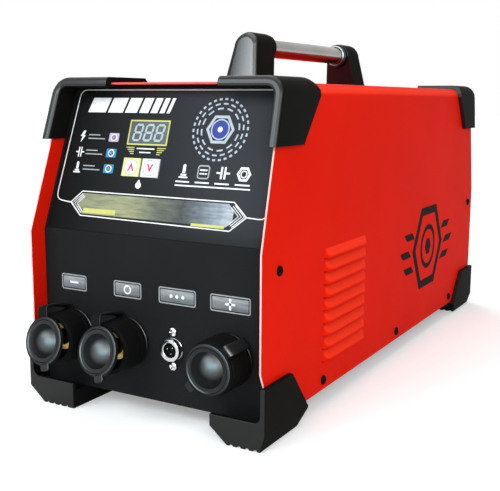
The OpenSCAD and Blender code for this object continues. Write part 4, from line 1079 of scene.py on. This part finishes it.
def build_earth_stud():
    stud = [(0, -8), (EARTH_R, -8), (EARTH_R, EARTH_HEX_H)]
    turns = int((EARTH_OUT - EARTH_HEX_H - 1.5) / THREAD_PITCH)
    for i in range(turns):
        low = EARTH_HEX_H + 0.4 + i * THREAD_PITCH
        stud += [(EARTH_R - 0.55, low), (EARTH_R, low + THREAD_PITCH / 2)]
    stud += [(EARTH_R - 0.6, EARTH_OUT - 0.6), (EARTH_R - 1.2, EARTH_OUT), (0, EARTH_OUT)]
    thread = lathe("earth_thread", stud, 32)
    collar = soften(plate("earth_collar", disc_outline(0, 0, EARTH_HEX_R, 6), 0, EARTH_HEX_H), 0.5)
    piece = settle(joined("earth_terminal", [thread, collar]), at_rear(EARTH_X, EARTH_Z))
    dress(piece, BRASS, "case", "brass", "earth_stud")


# Printed control field: every ink is one piece of thin film
INK_T = 0.06
DISPLAY = (-33.5, 68.3, 1.9, 86.9)
KEYS_X, KEYS_UP, KEY_PITCH = -16.9, 51.2, 17
KEY_PROUD = 1.0
KEY_ROUND = 0.35
KEY_ARROW = ((0, 3.6), (3.0, -3.0), (1.5, -3.0), (0, 0.3), (-1.5, -3.0), (-3.0, -3.0))
LAMPS_X, LAMPS_UP, LAMP_PITCH = -46.6, 61.2, 12
BANNER_LEFT, BANNER_RIGHT = (-77, 22), (77.6, 21.2)
BANNER_LINE = (BANNER_LEFT, (-67, 31.4), (66, 31.4), BANNER_RIGHT, (65.5, 10.6), (-65.5, 12.2))
FIELD_TOP = 110.0
FIELD_CORNER = 6
FINE_LINE = 0.8


class Print:
    """Collects the flat shapes of one field and lays each ink on it as one piece."""

    def __init__(self, height=0.0):
        self.height = height
        self.inks = {}

    def put(self, ink_finish, piece, places):
        self.inks.setdefault(ink_finish, []).extend(repeated(piece, places) if places else [piece])

    def fill(self, ink_finish, outline, lift=0.0, places=()):
        low = self.height + lift
        self.put(ink_finish, plate("ink", outline, low - INK_T / 2, low + INK_T), places)

    def rim(self, ink_finish, outline, line, lift=0.0, places=()):
        low = self.height + lift
        self.put(ink_finish, frame_plate("ink", outline, line, low - INK_T / 2, low + INK_T), places)

    def line(self, ink_finish, points, width, lift=0.0, places=()):
        self.fill(ink_finish, ribbon_outline(points, width), lift, places)

    def lay(self, body, slot, places):
        """Puts every ink on its surface, as a piece of its own at each named place."""
        for ink_finish, shapes in self.inks.items():
            layer = joined("ink_layer", shapes)
            for name, matrix in places.items():
                dress(duplicate(layer, matrix, name + "_" + ink_finish.name), ink_finish, body, slot)
            discard(layer)


def draw_field_line(sheet):
    """Fine frame line round the field, running into the tips of the banner."""
    left = [BANNER_LEFT, (-91.3, 23.4), (-86.2, FIELD_TOP), (0, FIELD_TOP)]
    right = [BANNER_RIGHT, (92.4, 20.4), (87.4, FIELD_TOP), (0, FIELD_TOP)]
    for half in (left, right):
        sheet.line(WHITE_INK, rounded(half, FIELD_CORNER), FINE_LINE)


def draw_accent(sheet):
    """Slanted bars that thin out to the right."""
    x, lean, low, high = -76.0, 3.6, 92.4, 103.8
    for width in (17, 14, 11, 8.2, 6, 4.2, 2.8):
        sheet.fill(WHITE_INK, [(x, low), (x + lean, high), (x + lean + width, high), (x + width, low)])
        x += width + 2.1


def draw_lamp_rows(sheet):
    """Three rows: a pictogram, two lines and the lamp's tinted surround."""
    rows = [shift(0, LAMPS_UP + row * LAMP_PITCH, 0) for row in (1, 0, -1)]
    surround = box_outline(LAMPS_X - 4.6, -3.3, LAMPS_X + 4.6, 3.3, 0.8)
    sheet.fill(VIOLET_INK, surround, places=rows[:1])
    sheet.rim(WHITE_INK, disc_outline(LAMPS_X, 0, 2.9), 0.9, INK_T, rows)
    sheet.line(GREY_INK, [(-71, -1.3), (-55, -1.3)], FINE_LINE, places=rows)
    sheet.line(GREY_INK, [(-71, 1.5), (-60, 1.5)], FINE_LINE, places=rows)
    sheet.fill(BLUE_INK, surround, places=rows[1:])
    icon_x, up = -76.5, LAMPS_UP + LAMP_PITCH
    flash = ((-2.4, 0.3), (0.2, 4.6), (2.2, 4.6), (0.7, 1.1), (2.6, 1.1), (-1.6, -4.6), (-0.4, 0.3))
    sheet.fill(WHITE_INK, [(icon_x + x, up + y) for x, y in flash])
    draw_capacitor(sheet, icon_x, LAMPS_UP, 1.1, (-3.8, 3.8), (0.4, 2.8), 1.0, 1.0)
    draw_stud(sheet, icon_x, LAMPS_UP - LAMP_PITCH - 4.2, 8.6)


def draw_stud(sheet, x, low, height):
    """Flanged stud on a plate: plate line, flange, shank with a chamfered tip."""
    unit = height / 8
    shank = [(-1, 2.9), (-1, 7.3), (-0.5, 8), (0.5, 8), (1, 7.3), (1, 2.9)]
    for outline in (box_outline(-3, 0, 3, 0.9), box_outline(-1.9, 1.3, 1.9, 2.5), shank):
        sheet.fill(WHITE_INK, [(x + unit * across, low + unit * up) for across, up in outline])


def draw_capacitor(sheet, x, up, gap, plate_span, lead_span, plate_w, lead_w):
    """Two plates with a lead from each."""
    for side in (-1, 1):
        plate_x = x + side * gap
        sheet.line(WHITE_INK, [(plate_x, up + end) for end in plate_span], plate_w)
        sheet.line(WHITE_INK, [(plate_x + side * end, up) for end in lead_span], lead_w)


DIGIT_W, DIGIT_H, DIGIT_LEAN = 6.2, 11.6, 0.16
DIGITS_X = (-25.2, -15.6, -6.0)
SEGMENT = 1.6


def draw_display(sheet):
    """Window frame, three figures of seven bars, and tapering lines below."""
    x0, y0, x1, y1 = DISPLAY
    sheet.rim(LIME_INK, box_outline(x0 - 0.2, y0 - 0.2, x1 + 0.2, y1 + 0.2), 1.1)
    middle_up = (y0 + y1) / 2
    half_w, half_h = DIGIT_W / 2, DIGIT_H / 2
    corners = [(x, y) for y in (-half_h, 0, half_h) for x in (-half_w, half_w)]
    figures = [shift(x, middle_up, 0) for x in DIGITS_X]
    for bar in ((0, 1), (2, 3), (4, 5), (0, 2), (2, 4), (1, 3), (3, 5)):
        start, end = (Vector(corners[i]) for i in bar)
        way = (end - start).normalized()
        start, end = start + way * 0.6 * SEGMENT, end - way * 0.6 * SEGMENT
        side = Vector((-way.y, way.x)) * SEGMENT / 2
        tip = way * SEGMENT / 2
        shape = [start + side, start - tip, start - side, end - side, end + tip, end + side]
        sheet.fill(SEGMENT_INK, [(p.x + DIGIT_LEAN * p.y, p.y) for p in shape], places=figures)
    for row in range(4):
        up = y0 - 2.1 - 1.55 * row
        sheet.line(LIME_INK, [(x0 + 1.5 * row, up), (x0 + 7.5, up)], 0.7)
        sheet.line(LIME_INK, [(x1 - 7.5, up), (x1 - 1.5 * row, up)], 0.7)
    sheet.line(WHITE_INK, [(-24, y0 - 2.8), (-8, y0 - 2.8)], 0.9)
    sheet.line(WHITE_INK, [(-21, y0 - 5.6), (-11, y0 - 5.6)], 0.9)


def draw_rosette(sheet):
    """Round graphic: broken rings about a hexagon and a blue centre."""
    x, up = 44.8, 81.4
    for radius, count, share, width in ((22.0, 30, 0.5, 1.5), (18.6, 18, 0.6, 1.2), (15.2, 12, 0.6, 1.2)):
        dash = arc_points(0, 0, radius, 0, 360 / count * share, 3)
        places = [shift(x, up, 0) @ turn(360 * i / count, "Z") for i in range(count)]
        sheet.line(SILVER_INK, dash, width, places=places)
    sheet.rim(SILVER_INK, disc_outline(x, up, 11.6, 6), 2.0)
    sheet.fill(DEEP_BLUE_INK, disc_outline(x, up, 6.4))
    sheet.rim(SILVER_INK, disc_outline(x, up, 7.6), 1.0)
    sheet.fill(WHITE_INK, disc_outline(x, up, 2.0, 20), INK_T)


ICONS_X = (20.8, 37.1, 53.2, 69.6)
ICONS_UP = 45.6
UNDERLINE_UP = 43.0
CAPTION_UP = 40.2


def draw_icons(sheet):
    """Four pictograms over short lines: stud, direct current, capacitor and hexagon nut."""
    stud, current, capacitor, nut = ICONS_X
    draw_stud(sheet, stud, ICONS_UP, 10)
    sheet.rim(GREY_INK, box_outline(current - 5, ICONS_UP, current + 5, ICONS_UP + 10, 2.4), 1.0)
    sheet.line(WHITE_INK, [(current - 3, ICONS_UP + 6.4), (current + 3, ICONS_UP + 6.4)], 1.1)
    dots = [shift(current + 2.2 * i, ICONS_UP + 3.8, 0) for i in (-1, 0, 1)]
    sheet.line(WHITE_INK, [(-0.8, 0), (0.8, 0)], 1.1, places=dots)
    draw_capacitor(sheet, capacitor, ICONS_UP + 5, 1.4, (-4.2, 4.4), (0.7, 4.0), 1.5, 1.3)
    sheet.rim(WHITE_INK, disc_outline(nut, ICONS_UP + 5, 5.7, 6), 1.7)
    sheet.rim(WHITE_INK, disc_outline(nut, ICONS_UP + 5, 2.7, 24), 0.8)
    underlines = [shift(x, UNDERLINE_UP, 0) for x in ICONS_X]
    sheet.line(WHITE_INK, [(-5.8, 0), (5.8, 0)], 1.1, places=underlines)
    sheet.line(WHITE_INK, [(15.0, CAPTION_UP), (76.2, CAPTION_UP)], 1.0)


def draw_banner(sheet):
    """Long hexagon with a faded fill and chevrons at both tips."""
    sheet.rim(WHITE_INK, BANNER_LINE, FINE_LINE)
    sheet.fill(BANNER, [(-66, 29.6), (62, 29.6), (66.5, 25), (66.5, 17), (62, 13.4), (-64, 14.0), (-69, 18),
                        (-69, 26)])
    level = 21.4
    for step in (1, 2, 3):
        inset = 2.3 * step
        reach = 8.6 - 0.9 * step
        for side, tip in ((-1, BANNER_LEFT[0]), (1, BANNER_RIGHT[0])):
            x = tip - side * inset
            back = x - side * reach * 1.1
            sheet.line(WHITE_INK, [(back, level + reach), (x, level), (back, level - reach)], 0.6, INK_T)
    sheet.line(LIME_INK, [(-63, 16.6), (-33, 16.6)], 3.6, INK_T)
    sheet.line(LIME_INK, [(34, 13.2), (61, 13.2)], 2.0, INK_T)


def draw_pointer(sheet):
    """Drop below the keys, pointing at both."""
    tip, round_up = (-16.8, 42.6), 38.2
    drop = [tip] + arc_points(tip[0], round_up, 2.5, 20, -200, 14)
    sheet.fill(WHITE_INK, drop)


def build_field_print():
    sheet = Print(OVERLAY_T)
    for draw in (draw_field_line, draw_accent, draw_lamp_rows, draw_display, draw_rosette, draw_icons,
                 draw_banner, draw_pointer):
        draw(sheet)
    sheet.lay("case", "overlay", {"field": on_slope()})


def build_keys():
    """Soft key faces with a pale disc and an arrow on each."""
    for way, side, finish in (("up", -1, UP_KEY), ("down", 1, DOWN_KEY)):
        body = way + "_key"
        dress(softened_node(body, body + "_cap", KEY_ROUND), finish, body, "keys", body)
        sheet = Print(OVERLAY_T + KEY_PROUD)
        sheet.fill(WHITE_INK, disc_outline(0, 0, 5.4))
        sheet.rim(GREY_INK, disc_outline(0, 0, 5.8), 0.5)
        sheet.fill(RED_INK, [(x, -side * up) for x, up in KEY_ARROW], INK_T)
        sheet.lay(body, "keys", {body: on_slope(KEYS_X + side * KEY_PITCH / 2, KEYS_UP)})


LABELS_X = ((-82, -58), (-32, -7), (8.5, 40), (52, 84))
LABEL_LOW, LABEL_HIGH, LABEL_MARGIN = 88, 100, 1.6
MINUS_X, RING_X, DOTS_X, PLUS_X = -70, -19.5, 24.2, 68
BAR_REACH, BAR_HALF = 4, 0.8


def build_panel_print():
    """Plates over the sockets with plain signs: minus, ring, dots and plus."""
    sheet = Print()
    for x0, x1 in LABELS_X:
        sheet.rim(GREY_INK, box_outline(x0, LABEL_LOW, x1, LABEL_HIGH, 1.8), FINE_LINE)
        sheet.fill(LABEL, box_outline(x0 + LABEL_MARGIN, LABEL_LOW + LABEL_MARGIN, x1 - LABEL_MARGIN,
                                      LABEL_HIGH - LABEL_MARGIN, 0.8))
    middle = (LABEL_LOW + LABEL_HIGH) / 2
    minus, ring, plus = (shift(x, middle, 0) for x in (MINUS_X, RING_X, PLUS_X))
    dots = [shift(DOTS_X + 5 * i, middle, 0) for i in (-1, 0, 1)]
    sheet.fill(WHITE_INK, box_outline(-BAR_REACH, -BAR_HALF, BAR_REACH, BAR_HALF), INK_T, [minus, plus])
    sheet.fill(WHITE_INK, box_outline(-BAR_HALF, -BAR_REACH, BAR_HALF, BAR_REACH), INK_T, [plus])
    sheet.rim(WHITE_INK, disc_outline(0, 0, 3.4), 1.2, INK_T, [ring])
    sheet.fill(WHITE_INK, disc_outline(0, 0, 1.3, 20), INK_T, dots)
    sheet.lay("case", "black_paint", {"panel": at_front(0, 0)})


SIGN = (340, 89)
SIGN_R = 46
SIGN_LINE = 8
SIGN_BORE = 22
SIGN_RING = 5
SIGN_CORE = 9
SIGN_LEAN = 4
SIGN_BAR_H = 6.8
SIGN_BARS = ((16, 44, 66), (0, 53, 76), (-16, 44, 66))


def build_side_print():
    """Hexagon nut sign with bars at both hands, on both sides of the cover."""
    sheet = Print()
    sheet.rim(BLACK_INK, disc_outline(0, 0, SIGN_R, 6), SIGN_LINE)
    sheet.rim(BLACK_INK, disc_outline(0, 0, SIGN_BORE, 48), SIGN_RING)
    sheet.fill(BLACK_INK, disc_outline(0, 0, SIGN_CORE, 6))
    for side in (-1, 1):
        lean = SIGN_LEAN * side
        for up, start, end in SIGN_BARS:
            low, high = up - SIGN_BAR_H / 2, up + SIGN_BAR_H / 2
            sheet.fill(BLACK_INK, [(side * start - lean, low), (side * start + lean, high),
                                   (side * end + lean, high), (side * end - lean, low)])
    sheet.lay("case", "red_paint", {"right_sign": at_side(1, *SIGN), "left_sign": at_side(-1, *SIGN)})


finish_nodes()
build_cover()
build_guards()
build_feet()
build_fittings()
build_handle()
build_sockets()
build_control_socket()
build_screws()
build_earth_stud()
build_field_print()
build_keys()
build_panel_print()
build_side_print()


# Stage, light and camera
CAMERA_PLACE = (355.6, -463.4, 231.4)
CAMERA_YAW = 29.71
CAMERA_PITCH = 9.84
CAMERA_ROLL = 0.31
CAMERA_LENS = 60.75
SENSOR_W = 36.0


def build_camera():
    data = bpy.data.cameras.new("photo_camera")
    data.lens = CAMERA_LENS
    data.sensor_width = SENSOR_W
    data.clip_start, data.clip_end = 0.01, 100.0
    camera = bpy.data.objects.new("photo_camera", data)
    bpy.context.scene.collection.objects.link(camera)
    look = turn(CAMERA_YAW, "Z") @ turn(90 - CAMERA_PITCH, "X") @ turn(CAMERA_ROLL, "Z")
    camera.matrix_world = Matrix.Translation(CASE @ Vector(CAMERA_PLACE)) @ look
    bpy.context.scene.camera = camera


def seen_rays(shading):
    """One for rays from the camera, mirrors or glass, zero for light that bounces."""
    rays = [shading.node("ShaderNodeLightPath", output=name)
            for name in ("Is Camera Ray", "Is Glossy Ray", "Is Transmission Ray")]
    return shading.node("ShaderNodeMath", {"operation": "ADD", "use_clamp": True},
                       {0: rays[0] + rays[1], 1: rays[2]})


AMBIENT = 0.35


def build_floor():
    """Pale floor that keeps the shadow near the part and fades to white."""
    deselect()
    bpy.ops.mesh.primitive_plane_add(size=24)
    floor = added("floor")
    finish = Finish("pale_floor", base_color=(0.86, 0.86, 0.86), roughness=0.9, specular_ior_level=0.0,
                    emission_strength=1.0)
    reach = finish.node("ShaderNodeVectorMath", {"operation": "LENGTH"}, {0: finish.place}, output="Value")
    pale = finish.mix(finish.between(reach, 0.7, 1.9), (0.30, 0.30, 0.30), (1.0, 1.0, 1.0))
    finish.set(emission_color=finish.mix(seen_rays(finish), (0.0, 0.0, 0.0), pale))
    floor.data.materials.append(finish.material)


def build_sky():
    """White where it is seen, and dimmer as light on the part."""
    world = bpy.data.worlds.new("studio")
    bpy.context.scene.world = world
    sky = Shading(world, "Background")
    sky.set(color=(1.0, 1.0, 1.0), strength=AMBIENT + (1 - AMBIENT) * seen_rays(sky))


def softbox(name, place, aim, size, power, colour=(1.0, 1.0, 1.0), shine_only=False):
    """A large soft lamp, or a card that shows in glossy surfaces alone."""
    data = bpy.data.lights.new(name, "AREA")
    data.shape = "RECTANGLE"
    data.size, data.size_y = size
    data.energy = power
    data.color = colour
    lamp = bpy.data.objects.new(name, data)
    bpy.context.scene.collection.objects.link(lamp)
    lamp.location = place
    lamp.rotation_euler = (Vector(aim) - Vector(place)).to_track_quat("-Z", "Y").to_euler()
    lamp.visible_diffuse = not shine_only


def build_light():
    middle = (0.0, -0.1, 0.13)
    cool = (0.86, 0.96, 1.0)
    softbox("front_box", (-0.35, -1.32, 0.98), middle, (1.2, 0.6), 16.0, cool)
    softbox("front_card", (0.34, -1.65, 0.46), (0.0, -0.24, 0.07), (1.2, 0.6), 30.0, (0.56, 0.86, 1.0), True)
    softbox("side_box", (1.0, -1.1, 0.72), middle, (1.0, 1.0), 13.0)
    softbox("top_box", (0.0, 0.1, 1.35), middle, (1.1, 1.3), 6.0)
    softbox("rear_box", (-0.9, 1.1, 0.8), middle, (0.8, 0.8), 8.0)


build_floor()
build_sky()
build_light()
build_camera()
bpy.context.scene.view_settings.view_transform = "Standard"
